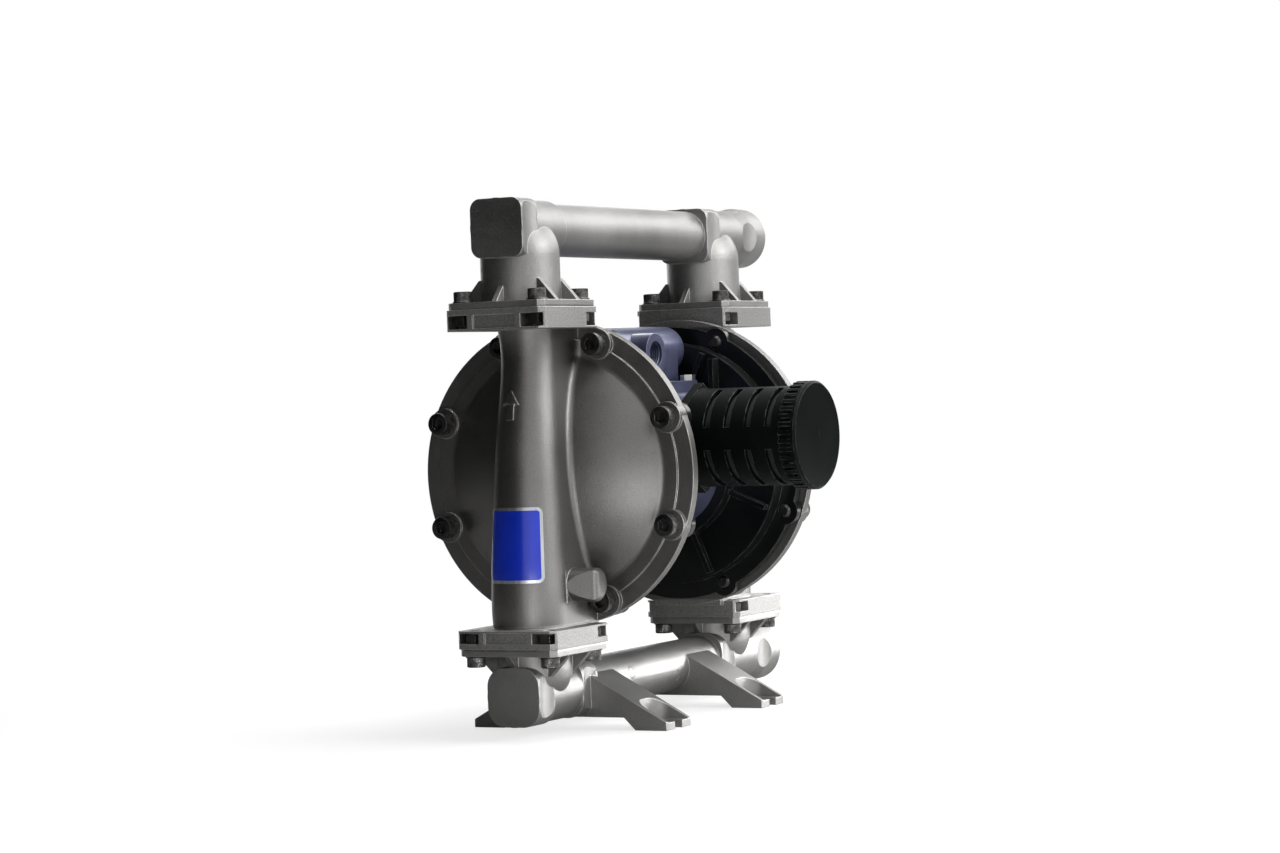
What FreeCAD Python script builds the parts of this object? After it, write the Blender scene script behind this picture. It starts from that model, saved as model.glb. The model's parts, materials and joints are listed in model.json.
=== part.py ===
import FreeCAD, Part

import math
import os

import Sketcher

# Air-operated double diaphragm pump, in millimetres.
# X runs across the pump, with the air inlet and the muffler on +X and the air valve on -X.
# Y is the shaft axis, and both fluid ports open at the +Y end. Z is up and the floor is z = 0.
# Each side of the pump is modelled with its outward direction along +Y in the frame of its own,
# and the near side (-Y) is the same casting turned half a turn about Z.

OUTPUT_FOLDER = "parts"
SIDES = {"near": 180.0, "far": 0.0}

DRIVING_SIZES = (
    ("shaft_height", 184.5, "floor to the shaft axis"),
    ("half_stroke", 10.0, "shaft travel each way from the middle"),
    ("face_gap", 0.3, "clearance between faces that only come close"),
    ("running_gap", 0.05, "radial clearance of a running or threaded fit"),
    ("bolt_gap", 0.5, "radial clearance of a through hole"),
    ("clamp_plane", 90.0, "centre to the outer face of the air cover flange"),
    ("diaphragm_thickness", 2.0, "rubber thickness where it is clamped"),
    ("rim_radius", 109.5, "outside of the fluid cover"),
    ("rim_thickness", 7.2, "fluid cover rim"),
    ("band_radius", 97.5, "outside of the raised band"),
    ("band_height", 1.8, "raised band above the rim"),
    ("dome_radius", 86.0, "foot of the fluid cover dome"),
    ("dome_height", 27.0, "dome above the raised band"),
    ("cover_wall", 9.0, "wall of the fluid cover at the dome"),
    ("bolt_circle", 99.0, "radius of the cover bolt circle"),
    ("bolt_tip", 2.0, "cover bolt tip behind the air cover flange"),
    ("cover_bolt_count", 8, "bolts round each cover"),
    ("cover_bolt_radius", 5.0, "cover bolt shank"),
    ("cover_head_radius", 8.0, "cover bolt head"),
    ("cover_head_height", 10.0, "cover bolt head"),
    ("boss_radius", 11.0, "round boss under each cover bolt"),
    ("boss_height", 3.5, "boss above the rim"),
    ("riser_offset", 142.0, "centre to the riser axes"),
    ("column_top_offset", 136.0, "centre to the column axis under the top flange"),
    ("column_top_radius", 21.6, "column under the top flange"),
    ("column_top_rise", 50.0, "shaft axis up to the slim end of the column"),
    ("column_middle_offset", 139.6, "centre to the column axis at shaft height"),
    ("column_middle_radius", 24.8, "column at shaft height"),
    ("column_foot_radius", 27.8, "column above the bottom flange"),
    ("column_foot_drop", 66.0, "shaft axis down to the stout end of the column"),
    ("column_flare", 3.5, "round between column and flanges"),
    ("column_round", 5.0, "hollow round between column and dome"),
    ("dome_round", 6.0, "hollow round at the foot of the dome"),
    ("top_split", 118.1, "shaft axis up to the outlet manifold joint"),
    ("bottom_split", 119.9, "shaft axis down to the inlet manifold joint"),
    ("top_flange_thickness", 15.0, "fluid cover top flange"),
    ("bottom_flange_thickness", 13.0, "fluid cover bottom flange"),
    ("cover_flange_half", 40.0, "half width of the square cover flanges"),
    ("manifold_flange_half", 38.9, "half width of the square manifold flanges"),
    ("manifold_flange_thickness", 5.0, "manifold flange"),
    ("flange_chamfer", 4.0, "corner of the square flanges"),
    ("flange_bolt_offset", 30.0, "riser axis to flange bolts, both ways"),
    ("flange_bolt_radius", 4.0, "flange bolt shank"),
    ("flange_head_radius", 6.5, "flange bolt head"),
    ("flange_head_height", 8.0, "flange bolt head"),
    ("nut_flats", 13.0, "across the flats of a flange nut"),
    ("nut_height", 6.5, "flange nut"),
    ("nut_land", 4.0, "metal between the split and a nut"),
    ("nut_pocket_half", 8.5, "half width of a nut pocket"),
    ("pocket_lip", 1.5, "metal between a nut pocket and the far face of its flange"),
    ("relief_half", 17.0, "half width of the relief between nut pockets"),
    ("relief_depth", 1.6, "relief between nut pockets"),
    ("ball_radius", 17.5, "check ball"),
    ("ball_lift", 6.0, "check ball lift"),
    ("cage_radius", 21.5, "bore round a check ball"),
    ("seat_radius", 24.0, "recess for a ball seat"),
    ("seat_height", 8.0, "ball seat"),
    ("seat_bore", 11.0, "opening of a ball seat"),
    ("seat_lip", 14.0, "top of the ball seat cone"),
    ("seal_section", 1.3, "section radius of a seat seal ring"),
    ("passage_radius", 11.5, "upright fluid passage"),
    ("window_radius", 10.0, "passage between column and chamber"),
    ("window_rise", 62.0, "shaft axis to the chamber passages"),
    ("lug_radius", 12.0, "round lug beside the column foot"),
    ("lug_reach", 49.0, "column axis to the tip of the lug"),
    ("lug_drop", 78.0, "shaft axis down to the lug"),
    ("lug_offset", 130.0, "centre to the lug axis"),
    ("lug_round", 4.0, "round at the tip of the lug"),
    ("lug_facet", 8.0, "depth of the flat facet at the root of the lug"),
    ("air_flange_radius", 104.0, "air cover flange between the lobes"),
    ("air_flange_thickness", 6.0, "air cover flange"),
    ("dish_radius", 92.0, "outside of the air cover dish"),
    ("dish_back", 71.0, "centre to the back of the dish"),
    ("drum_radius", 58.0, "outside of the air cover drum"),
    ("drum_back", 60.0, "centre to the joint with the housing"),
    ("drum_floor", 10.0, "air cover floor"),
    ("dish_wall", 6.0, "air cover wall"),
    ("air_rib_thickness", 4.0, "ribs on the back of the air cover"),
    ("web_offset", 44.0, "upright webs on the back of the air cover"),
    ("convolution_middle", 68.0, "radius of the diaphragm roll"),
    ("convolution_half", 14.0, "half width of the diaphragm roll"),
    ("convolution_rise", 5.0, "height of the diaphragm roll"),
    ("air_plate_radius", 48.0, "diaphragm plate on the air side"),
    ("air_plate_thickness", 8.0, "diaphragm plate on the air side"),
    ("fluid_plate_radius", 50.0, "diaphragm plate on the fluid side"),
    ("fluid_plate_thickness", 7.0, "diaphragm plate on the fluid side"),
    ("shaft_radius", 11.0, "main shaft"),
    ("shaft_bolt_radius", 6.0, "bolt that clamps the diaphragm"),
    ("shaft_bolt_flats", 18.0, "across the flats of the shaft bolt"),
    ("shaft_bolt_head", 7.0, "head of the shaft bolt"),
    ("shaft_bolt_grip", 14.0, "shaft bolt inside the shaft"),
    ("bearing_radius", 15.0, "outside of the shaft bearing"),
    ("bearing_length", 13.0, "shaft bearing"),
    ("shaft_seal_length", 6.0, "shaft lip seal"),
    ("spigot_radius", 24.0, "housing spigot in the air cover"),
    ("spigot_length", 6.0, "housing spigot"),
    ("core_radius", 50.0, "round core of the housing"),
    ("gasket_thickness", 0.8, "paper gaskets"),
    ("barrel_radius", 18.0, "barrel on top of the housing"),
    ("barrel_rise", 86.5, "shaft axis up to the barrel axis"),
    ("ledge_half_width", 34.0, "ledge under the barrel"),
    ("ledge_rise", 63.0, "shaft axis up to the ledge"),
    ("ledge_half_length", 59.5, "ledge under the barrel"),
    ("air_screw_count", 6, "screws between the housing and each air cover"),
    ("inlet_rise", 83.5, "shaft axis up to the air inlet"),
    ("inlet_boss_radius", 15.5, "air inlet boss"),
    ("inlet_face", 31.0, "centre to the air inlet face"),
    ("inlet_bore", 9.45, "air inlet thread"),
    ("inlet_depth", 20.0, "air inlet thread"),
    ("exhaust_rise", 20.5, "shaft axis up to the muffler axis"),
    ("exhaust_face", 62.0, "centre to the exhaust face"),
    ("exhaust_boss_radius", 34.0, "exhaust boss"),
    ("exhaust_bore", 17.0, "exhaust thread"),
    ("exhaust_depth", 18.0, "exhaust thread"),
    ("exhaust_passage", 8.0, "exhaust passage through the housing"),
    ("valve_face", 66.0, "centre to the air valve face"),
    ("valve_half_length", 50.0, "air valve body along the shaft"),
    ("valve_half_height", 31.0, "air valve body"),
    ("valve_depth", 46.0, "air valve body across the pump"),
    ("spool_axis", 92.0, "centre to the spool axis"),
    ("spool_radius", 15.0, "spool bore"),
    ("spool_shift", 5.0, "spool travel each way"),
    ("spool_land", 9.0, "piston at each end of the spool"),
    ("spool_neck_radius", 9.0, "spool between its pistons"),
    ("valve_plate_thickness", 4.0, "ceramic valve plate"),
    ("valve_port_half", 4.0, "half width of the exhaust port in the valve plate"),
    ("side_port_offset", 14.0, "exhaust port to the chamber ports in the valve plate"),
    ("side_port_half", 2.5, "half width of those chamber ports"),
    ("chest_gap", 1.0, "room round the cup in the valve chest"),
    ("cup_thickness", 8.0, "sliding valve cup"),
    ("cup_wall", 3.0, "wall of the cup along the shaft"),
    ("end_plug_grip", 8.0, "end plug inside the valve body"),
    ("end_plug_flange", 7.0, "end plug outside the valve body"),
    ("end_plug_flats", 38.0, "across the flats of an end plug"),
    ("valve_screw_radius", 3.0, "screws of the air valve and the air covers"),
    ("valve_screw_head", 5.0, "radius and height of the head of those screws"),
    ("valve_screw_margin", 7.0, "edge of the air valve to its screws"),
    ("pin_radius", 4.0, "pilot pin"),
    ("pin_offset", 34.0, "shaft axis down to the pilot pins"),
    ("pin_collar_radius", 5.5, "collar that keeps a pilot pin in"),
    ("pin_share", 0.35, "pilot pin travel per shaft travel"),
    ("bushing_radius", 7.0, "pilot pin bushing"),
    ("bushing_length", 14.0, "pilot pin bushing"),
    ("muffler_radius", 36.0, "muffler body"),
    ("muffler_wall", 3.5, "muffler body"),
    ("muffler_neck", 16.0, "threaded neck of the muffler in the exhaust"),
    ("muffler_start", 69.0, "centre to the muffler body"),
    ("muffler_end", 147.0, "centre to the muffler cap"),
    ("muffler_flats", 70.0, "across the flats of the muffler hexagon"),
    ("slot_first", 88.0, "centre to the first row of slots"),
    ("slot_pitch", 16.4, "between the rows of slots"),
    ("slot_width", 5.0, "muffler slot"),
    ("slot_rows", 4, "rows of muffler slots"),
    ("slot_from", 14.0, "angle at which a slot starts in its quarter"),
    ("slot_to", 77.0, "angle at which a slot ends in its quarter"),
    ("cap_radius", 39.3, "muffler cap"),
    ("cap_thickness", 13.5, "muffler cap"),
    ("cap_teeth", 40, "grip notches round the muffler cap"),
    ("cap_notch", 1.6, "depth of a grip notch"),
    ("outlet_axis_rise", 56.3, "outlet joint up to the outlet pipe axis"),
    ("inlet_axis_drop", 34.2, "inlet joint down to the inlet pipe axis"),
    ("pipe_radius", 19.0, "manifold pipe"),
    ("tee_radius", 21.1, "manifold tee"),
    ("tee_reach", 31.5, "half length of a manifold tee"),
    ("port_collar_radius", 23.4, "collar round a fluid port"),
    ("port_collar_start", 187.0, "centre to the port collar"),
    ("port_face", 208.0, "centre to the fluid port face"),
    ("port_bore", 15.9, "fluid port thread"),
    ("port_depth", 25.0, "fluid port thread"),
    ("pipe_bore", 14.0, "manifold bore"),
    ("inlet_passage_radius", 13.0, "upright passage of the inlet manifold"),
    ("riser_radius", 28.2, "outlet manifold riser"),
    ("inlet_riser_radius", 26.6, "inlet manifold riser"),
    ("riser_dome_drop", 18.3, "pipe axis to the centre of the riser dome"),
    ("gusset_height", 15.5, "ribs between riser and flange"),
    ("gusset_margin", 1.0, "edge of the flange to the ribs"),
    ("gusset_thickness", 4.0, "ribs between riser and flange"),
    ("gusset_spacing", 15.0, "riser axis to the side ribs"),
    ("end_square_length", 22.0, "squared end of a tee"),
    ("outlet_end_corner", 8.0, "corner of the squared ends on the outlet manifold"),
    ("inlet_end_corner", 13.5, "corner of the squared ends on the inlet manifold"),
    ("scoop_half", 10.0, "half length of the hollow in the side of a squared end"),
    ("scoop_depth", 2.6, "depth of that hollow"),
    ("collar_scoop_half", 8.0, "half length of the hollows before a port collar"),
    ("collar_scoop_depth", 1.6, "depth of those hollows"),
    ("foot_offset", 77.0, "centre to the feet along the shaft"),
    ("foot_half_width", 18.8, "half width of a foot"),
    ("foot_reach", 79.0, "centre to the tip of a foot"),
    ("foot_pad_length", 25.0, "foot on the floor"),
    ("foot_tip_height", 6.0, "foot at its tip"),
    ("foot_arch", 9.0, "floor to the underside between the feet"),
    ("foot_slot_half", 5.6, "half width of the mounting slot"),
    ("foot_slot_length", 16.0, "mounting slot in from the tip"),
    ("foot_slope_start", 17.0, "centre to the top of the slope of a foot"),
    ("foot_slope_top", 9.5, "pipe axis up to the top of that slope"),
    ("foot_tray_length", 27.0, "tray round the mounting slot, in from the tip"),
    ("foot_tray_floor", 5.5, "floor to the bottom of the tray"),
    ("foot_tray_corner", 11.0, "round inner corners of the tray"),
    ("foot_rim", 3.2, "wall beside the tray"),
    ("ground_screw_flats", 10.0, "across the flats of the ground screw"),
    ("ground_screw_height", 4.2, "head of the ground screw"),
    ("ground_screw_radius", 3.0, "ground screw shank"),
    ("ground_screw_depth", 8.0, "ground screw in the ledge"),
)

doc = FreeCAD.newDocument("double_diaphragm_pump")
sheet = doc.addObject("Spreadsheet::Sheet", "Sizes")
for row, (alias, value, meaning) in enumerate(DRIVING_SIZES, start=1):
    sheet.set(f"A{row}", meaning)
    sheet.set(f"B{row}", str(value))
    sheet.setAlias(f"B{row}", alias)
doc.recompute()


# Sizes that keep their sheet expression

def number(size):
    return size.value if isinstance(size, Size) else float(size)


def formula(size):
    return size.text if isinstance(size, Size) else f"{float(size):.6f}"


class Size:
    """A number that carries the sheet expression it comes from."""

    def __init__(self, value, text):
        self.value = value
        self.text = text

    def __add__(self, other):
        return Size(self.value + number(other), f"({self.text} + {formula(other)})")

    def __sub__(self, other):
        return Size(self.value - number(other), f"({self.text} - {formula(other)})")

    def __rsub__(self, other):
        return Size(number(other) - self.value, f"({formula(other)} - {self.text})")

    def __mul__(self, other):
        return Size(self.value * number(other), f"({self.text} * {formula(other)})")

    def __truediv__(self, other):
        return Size(self.value / number(other), f"({self.text} / {formula(other)})")

    def __neg__(self):
        return Size(-self.value, f"(0 - {self.text})")

    __radd__ = __add__
    __rmul__ = __mul__


def root(size):
    return Size(math.sqrt(number(size)), f"sqrt({formula(size)})")


def turned(radius, degrees):
    """The two coordinates of a point at a radius and an angle."""
    angle = math.radians(degrees)
    return radius * math.cos(angle), radius * math.sin(angle)


class Sheet:
    """Reads each driving size by its alias."""

    def __getattr__(self, alias):
        return Size(float(sheet.get(alias)), f"Sizes.{alias}")


size = Sheet()


# Sketch geometry bound to the sheet

def bind(item, path, value):
    item.setExpression(path, formula(value))


def pin(sketch, geometry, point, across, upward):
    """Fix one point of a sketch by its two coordinates."""
    for kind, value, axis in (("DistanceX", across, -2), ("DistanceY", upward, -1)):
        if abs(number(value)) < 1e-9:
            sketch.addConstraint(Sketcher.Constraint("PointOnObject", geometry, point, axis))
            continue
        positive = number(value) > 0
        ends = (-1, 1, geometry, point) if positive else (geometry, point, -1, 1)
        index = sketch.addConstraint(Sketcher.Constraint(kind, *ends, abs(number(value))))
        bind(sketch, f"Constraints[{index}]", value if positive else -1 * value)


class Disc:
    """A circle at a point."""

    def __init__(self, across, upward, radius):
        self.across = across
        self.upward = upward
        self.radius = radius

    def draw(self, sketch):
        centre = FreeCAD.Vector(number(self.across), number(self.upward), 0)
        circle = Part.Circle(centre, FreeCAD.Vector(0, 0, 1), number(self.radius))
        index = sketch.addGeometry(circle, False)
        pin(sketch, index, 3, self.across, self.upward)
        radius = sketch.addConstraint(Sketcher.Constraint("Radius", index, number(self.radius)))
        bind(sketch, f"Constraints[{radius}]", self.radius)


class Arc:
    """Stands between two corners whose edge is an arc with one known centre coordinate."""

    def __init__(self, across=None, upward=None, clockwise=False):
        self.across = across
        self.upward = upward
        self.clockwise = clockwise

    def centre(self, start, end):
        (ax, ay), (bx, by) = start, end
        half_square = (bx * bx + by * by - ax * ax - ay * ay) / 2
        if self.across is not None:
            x = number(self.across)
            return x, (half_square - x * (bx - ax)) / (by - ay)
        y = number(self.upward)
        return (half_square - y * (by - ay)) / (bx - ax), y


class Outline:
    """A closed outline of corners, with arcs where an Arc stands between two of them."""

    def __init__(self, *items):
        self.corners = [item for item in items if not isinstance(item, Arc)]
        self.arcs = {}
        for place, item in enumerate(items):
            if isinstance(item, Arc):
                self.arcs[place - 1 - len(self.arcs)] = item

    def draw(self, sketch):
        points = [(number(x), number(y)) for x, y in self.corners]
        count = len(points)
        ends = []
        for place, start in enumerate(points):
            end = points[(place + 1) % count]
            arc = self.arcs.get(place)
            if arc is None:
                edge = Part.LineSegment(FreeCAD.Vector(*start, 0), FreeCAD.Vector(*end, 0))
                ends.append((sketch.addGeometry(edge, False), 1, 2))
                continue
            centre = arc.centre(start, end)
            first, last = (end, start) if arc.clockwise else (start, end)
            angles = [math.atan2(y - centre[1], x - centre[0]) for x, y in (first, last)]
            circle = Part.Circle(
                FreeCAD.Vector(*centre, 0),
                FreeCAD.Vector(0, 0, 1),
                math.dist(centre, start),
            )
            edge = Part.ArcOfCircle(circle, *angles)
            order = (2, 1) if arc.clockwise else (1, 2)
            ends.append((sketch.addGeometry(edge, False), *order))
        for place, (edge, start, end) in enumerate(ends):
            following = ends[(place + 1) % count]
            sketch.addConstraint(Sketcher.Constraint("Coincident", edge, end, following[0], following[1]))
            pin(sketch, edge, start, *self.corners[place])
            if place in self.arcs:
                self.fix_centre(sketch, edge, self.arcs[place])

    def fix_centre(self, sketch, edge, arc):
        kind, value, axis = ("DistanceX", arc.across, -2)
        if arc.across is None:
            kind, value, axis = ("DistanceY", arc.upward, -1)
        if abs(number(value)) < 1e-9:
            sketch.addConstraint(Sketcher.Constraint("PointOnObject", edge, 3, axis))
            return
        positive = number(value) > 0
        ends = (-1, 1, edge, 3) if positive else (edge, 3, -1, 1)
        index = sketch.addConstraint(Sketcher.Constraint(kind, *ends, abs(number(value))))
        bind(sketch, f"Constraints[{index}]", value if positive else -1 * value)


def rectangle(left, right, low, high):
    return Outline((left, low), (right, low), (right, high), (left, high))


def chamfered_square(across, upward, half, chamfer):
    """A square with its corners cut off, about a centre."""
    short = half - chamfer
    offsets = (
        (short, -half), (half, -short), (half, short), (short, half),
        (-short, half), (-half, short), (-half, -short), (-short, -half),
    )
    return Outline(*((x + across, y + upward) for x, y in offsets))


def hexagon(across, upward, flats, first=0.0):
    corner = flats / math.sqrt(3)
    points = (turned(corner, first + 60 * k) for k in range(6))
    return Outline(*((x + across, y + upward) for x, y in points))


# Body features

NORMALS = {"x": ("YZ_Plane", 1), "y": ("XZ_Plane", -1), "z": ("XY_Plane", 1)}
bodies = []


def origin_item(body, role):
    return next(item for item in body.Origin.OriginFeatures if item.Role == role)


def new_body(label, rise=0, across=0, along=0, turn=0.0, turn_axis=(0, 0, 1)):
    """An empty body, set in place by three distances and one turn."""
    body = doc.addObject("PartDesign::Body", label)
    body.Label = label
    body.AllowCompound = True
    rotation = FreeCAD.Rotation(FreeCAD.Vector(*turn_axis), turn)
    body.Placement = FreeCAD.Placement(FreeCAD.Vector(0, 0, 0), rotation)
    for path, distance in (("x", across), ("y", along), ("z", rise)):
        bind(body, f"Placement.Base.{path}", distance)
    bodies.append(body)
    return body


def sketch_on(body, plane, offset, shapes):
    sketch = body.newObject("Sketcher::SketchObject", f"{body.Name}_sketch")
    sketch.AttachmentSupport = [(origin_item(body, plane), "")]
    sketch.MapMode = "FlatFace"
    bind(sketch, "AttachmentOffset.Base.z", offset)
    for shape in shapes:
        shape.draw(sketch)
    return sketch


def extrude(body, axis, start, end, *shapes, cut=False):
    """Add or cut the shapes between two coordinates along an axis."""
    plane, sign = NORMALS[axis]
    base = start if (sign > 0) != cut else end
    sketch = sketch_on(body, plane, sign * base, shapes)
    kind = "Pocket" if cut else "Pad"
    feature = body.newObject(f"PartDesign::{kind}", f"{body.Name}_{kind.lower()}")
    feature.Profile = sketch
    bind(feature, "Length", end - start)
    return feature


def cut_through(body, axis, start, end, *shapes):
    return extrude(body, axis, start, end, *shapes, cut=True)


def revolve(body, axis, outline, shift=0, cut=False):
    """Turn an outline of (along, radius) corners about an axis of the body.

    The shift moves an upright axis along Y.
    """
    plane = "YZ_Plane" if axis == "y" else "XZ_Plane"
    if axis == "z":
        items = [(radius, along) for along, radius in outline.corners]
        arcs = outline.arcs
        outline = Outline(*items)
        outline.arcs = {
            place: Arc(arc.upward, arc.across, not arc.clockwise) for place, arc in arcs.items()
        }
    sketch = sketch_on(body, plane, -1 * shift, [outline])
    kind = "Groove" if cut else "Revolution"
    feature = body.newObject(f"PartDesign::{kind}", f"{body.Name}_{kind.lower()}")
    feature.Profile = sketch
    feature.ReferenceAxis = (sketch, ["V_Axis" if axis == "z" else "H_Axis"])
    feature.Angle = 360
    return feature


def loft(body, sections):
    """Join outlines that lie at several heights."""
    sketches = [sketch_on(body, "XY_Plane", height, [outline]) for height, outline in sections]
    feature = body.newObject("PartDesign::AdditiveLoft", f"{body.Name}_loft")
    feature.Profile = sketches[0]
    feature.Sections = sketches[1:]
    feature.Ruled = False
    return feature


def polar_pattern(body, features, axis, count):
    pattern = body.newObject("PartDesign::PolarPattern", f"{body.Name}_pattern")
    pattern.Originals = features
    pattern.Axis = (origin_item(body, f"{axis}_Axis"), [""])
    pattern.Angle = 360
    pattern.Occurrences = int(number(count))
    body.Tip = pattern
    return pattern


def fillet(body, radius, wanted):
    """Round the edges of the newest feature that the test picks."""
    doc.recompute()
    base = body.Tip
    names = [f"Edge{k}" for k, edge in enumerate(base.Shape.Edges, start=1) if wanted(edge)]
    if not names:
        raise ValueError(f"{body.Label}: no edge to round")
    feature = body.newObject("PartDesign::Fillet", f"{body.Name}_fillet")
    feature.Base = (base, names)
    bind(feature, "Radius", radius)
    return feature


# Distances that several pieces share

rim_back = size.clamp_plane + size.diaphragm_thickness
rim_front = rim_back + size.rim_thickness
band_front = rim_front + size.band_height
dome_top = band_front + size.dome_height
boss_front = rim_front + size.boss_height
flange_back = size.clamp_plane - size.air_flange_thickness
top_flange_foot = size.top_split - size.top_flange_thickness
bottom_flange_head = size.bottom_flange_thickness - size.bottom_split
drum_front = size.drum_back + size.drum_floor
shaft_end = size.clamp_plane - size.air_plate_thickness
fluid_plate_front = rim_back + size.fluid_plate_thickness
plate_limit = shaft_end - size.half_stroke
pin_tip = plate_limit + size.pin_share * size.half_stroke - size.face_gap
head_sink = size.face_gap * 2
outlet_joint = size.shaft_height + size.top_split
inlet_joint = size.shaft_height - size.bottom_split

# The ball rests a hair above its 45 degree seat, and its lift ends at the edge of the passage.
ball_above_seat = size.ball_radius * math.sqrt(2) - size.seat_lip + size.face_gap
ball_rest = size.seat_height + ball_above_seat
ball_reach = root(size.ball_radius * size.ball_radius - size.passage_radius * size.passage_radius)
cage_top = ball_rest + size.ball_lift + ball_reach + size.face_gap


def flange_bolt_points(riser_offsets):
    """Centres of the four bolts round each riser, seen from above."""
    step = size.flange_bolt_offset
    return [
        (side * step, offset + end * step)
        for offset in riser_offsets
        for side in (-1, 1)
        for end in (-1, 1)
    ]


# Fluid covers

def column_section(axis_offset, radius):
    """A half round outward, with straight sides running back into the dome."""
    return Outline(
        (-radius, rim_back + size.cover_wall / 2),
        (radius, rim_back + size.cover_wall / 2),
        (radius, axis_offset),
        Arc(upward=axis_offset),
        (-radius, axis_offset),
    )


def nut_pockets(body, low, high):
    """Outer nuts drop in from the outer face, inner nuts from the two sides."""
    outer_face = size.riser_offset + size.cover_flange_half
    outer_bolt = size.riser_offset + size.flange_bolt_offset
    inner_bolt = size.riser_offset - size.flange_bolt_offset
    pocket = size.nut_pocket_half
    for side in (-1, 1):
        bolt = side * size.flange_bolt_offset
        cut_through(
            body, "z", low, high,
            rectangle(bolt - pocket, bolt + pocket, outer_bolt - pocket, outer_face + pocket),
        )
        edges = sorted((bolt - side * pocket, side * (size.cover_flange_half + pocket)), key=number)
        cut_through(
            body, "z", low, high,
            rectangle(*edges, inner_bolt - pocket, inner_bolt + pocket),
        )
    relief = size.relief_depth
    cut_through(
        body, "z", low, high,
        rectangle(-size.relief_half, size.relief_half, outer_face - relief, outer_face + relief),
    )


def cover_dome():
    """Outline of the cover: rim, raised band and a dome whose foot runs out in a hollow round."""
    sphere = (size.dome_radius * size.dome_radius + size.dome_height * size.dome_height) / (
        size.dome_height * 2
    )
    centre = dome_top - sphere
    hollow_centre = band_front + size.dome_round
    reach = sphere + size.dome_round
    hollow_radius = root(reach * reach - (hollow_centre - centre) * (hollow_centre - centre))
    share = sphere / reach
    return Outline(
        (rim_back, 0),
        (rim_back, size.rim_radius),
        (rim_front, size.rim_radius),
        (rim_front, size.band_radius),
        (band_front, size.band_radius),
        (band_front, hollow_radius),
        Arc(across=hollow_centre),
        (centre + (hollow_centre - centre) * share, hollow_radius * share),
        Arc(upward=0, clockwise=True),
        (dome_top, 0),
    )


def column(body):
    """The upright passage runs from one flange to the other, stout below and slim above."""
    middle = (size.riser_offset + size.column_middle_offset) / 2
    loft(body, (
        (bottom_flange_head - size.column_flare,
         column_section(size.riser_offset, size.column_foot_radius)),
        (-size.column_foot_drop, column_section(size.riser_offset, size.column_foot_radius)),
        (-size.column_foot_drop / 2, column_section(
            middle, (size.column_foot_radius + size.column_middle_radius) / 2,
        )),
        (0, column_section(size.column_middle_offset, size.column_middle_radius)),
        (size.column_top_rise, column_section(size.column_top_offset, size.column_top_radius)),
        (top_flange_foot + size.column_flare,
         column_section(size.column_top_offset, size.column_top_radius)),
    ))


def meets_dome(shape):
    """A test for the edges where the column runs into the dome and the flat band."""
    def wanted(edge):
        faces = shape.ancestorsOfType(edge, Part.Face)
        kinds = {type(face.Surface).__name__ for face in faces}
        in_band = edge.BoundBox.YLength < 0.01 and abs(edge.BoundBox.YMin - number(band_front)) < 0.01
        return "BSplineSurface" in kinds and (kinds & {"Sphere", "Toroid"} or in_band)
    return wanted


def lug(body):
    """A round lug at the foot of the column, with a flat facet at its root."""
    extrude(
        body, "x", -size.lug_reach, 0,
        Disc(size.lug_offset, -size.lug_drop, size.lug_radius),
    )
    front = size.lug_offset + size.lug_radius
    root_x = -size.column_foot_radius
    cut_through(
        body, "z", -size.lug_drop - size.lug_radius, size.lug_radius - size.lug_drop,
        Outline(
            (root_x, front),
            (-size.lug_reach - size.lug_round, front - size.lug_facet),
            (-size.lug_reach - size.lug_round, front + size.lug_round),
            (root_x, front + size.lug_round),
        ),
    )
    fillet(body, size.lug_round, lambda edge: abs(edge.BoundBox.XMax + number(size.lug_reach)) < 0.01)


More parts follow.
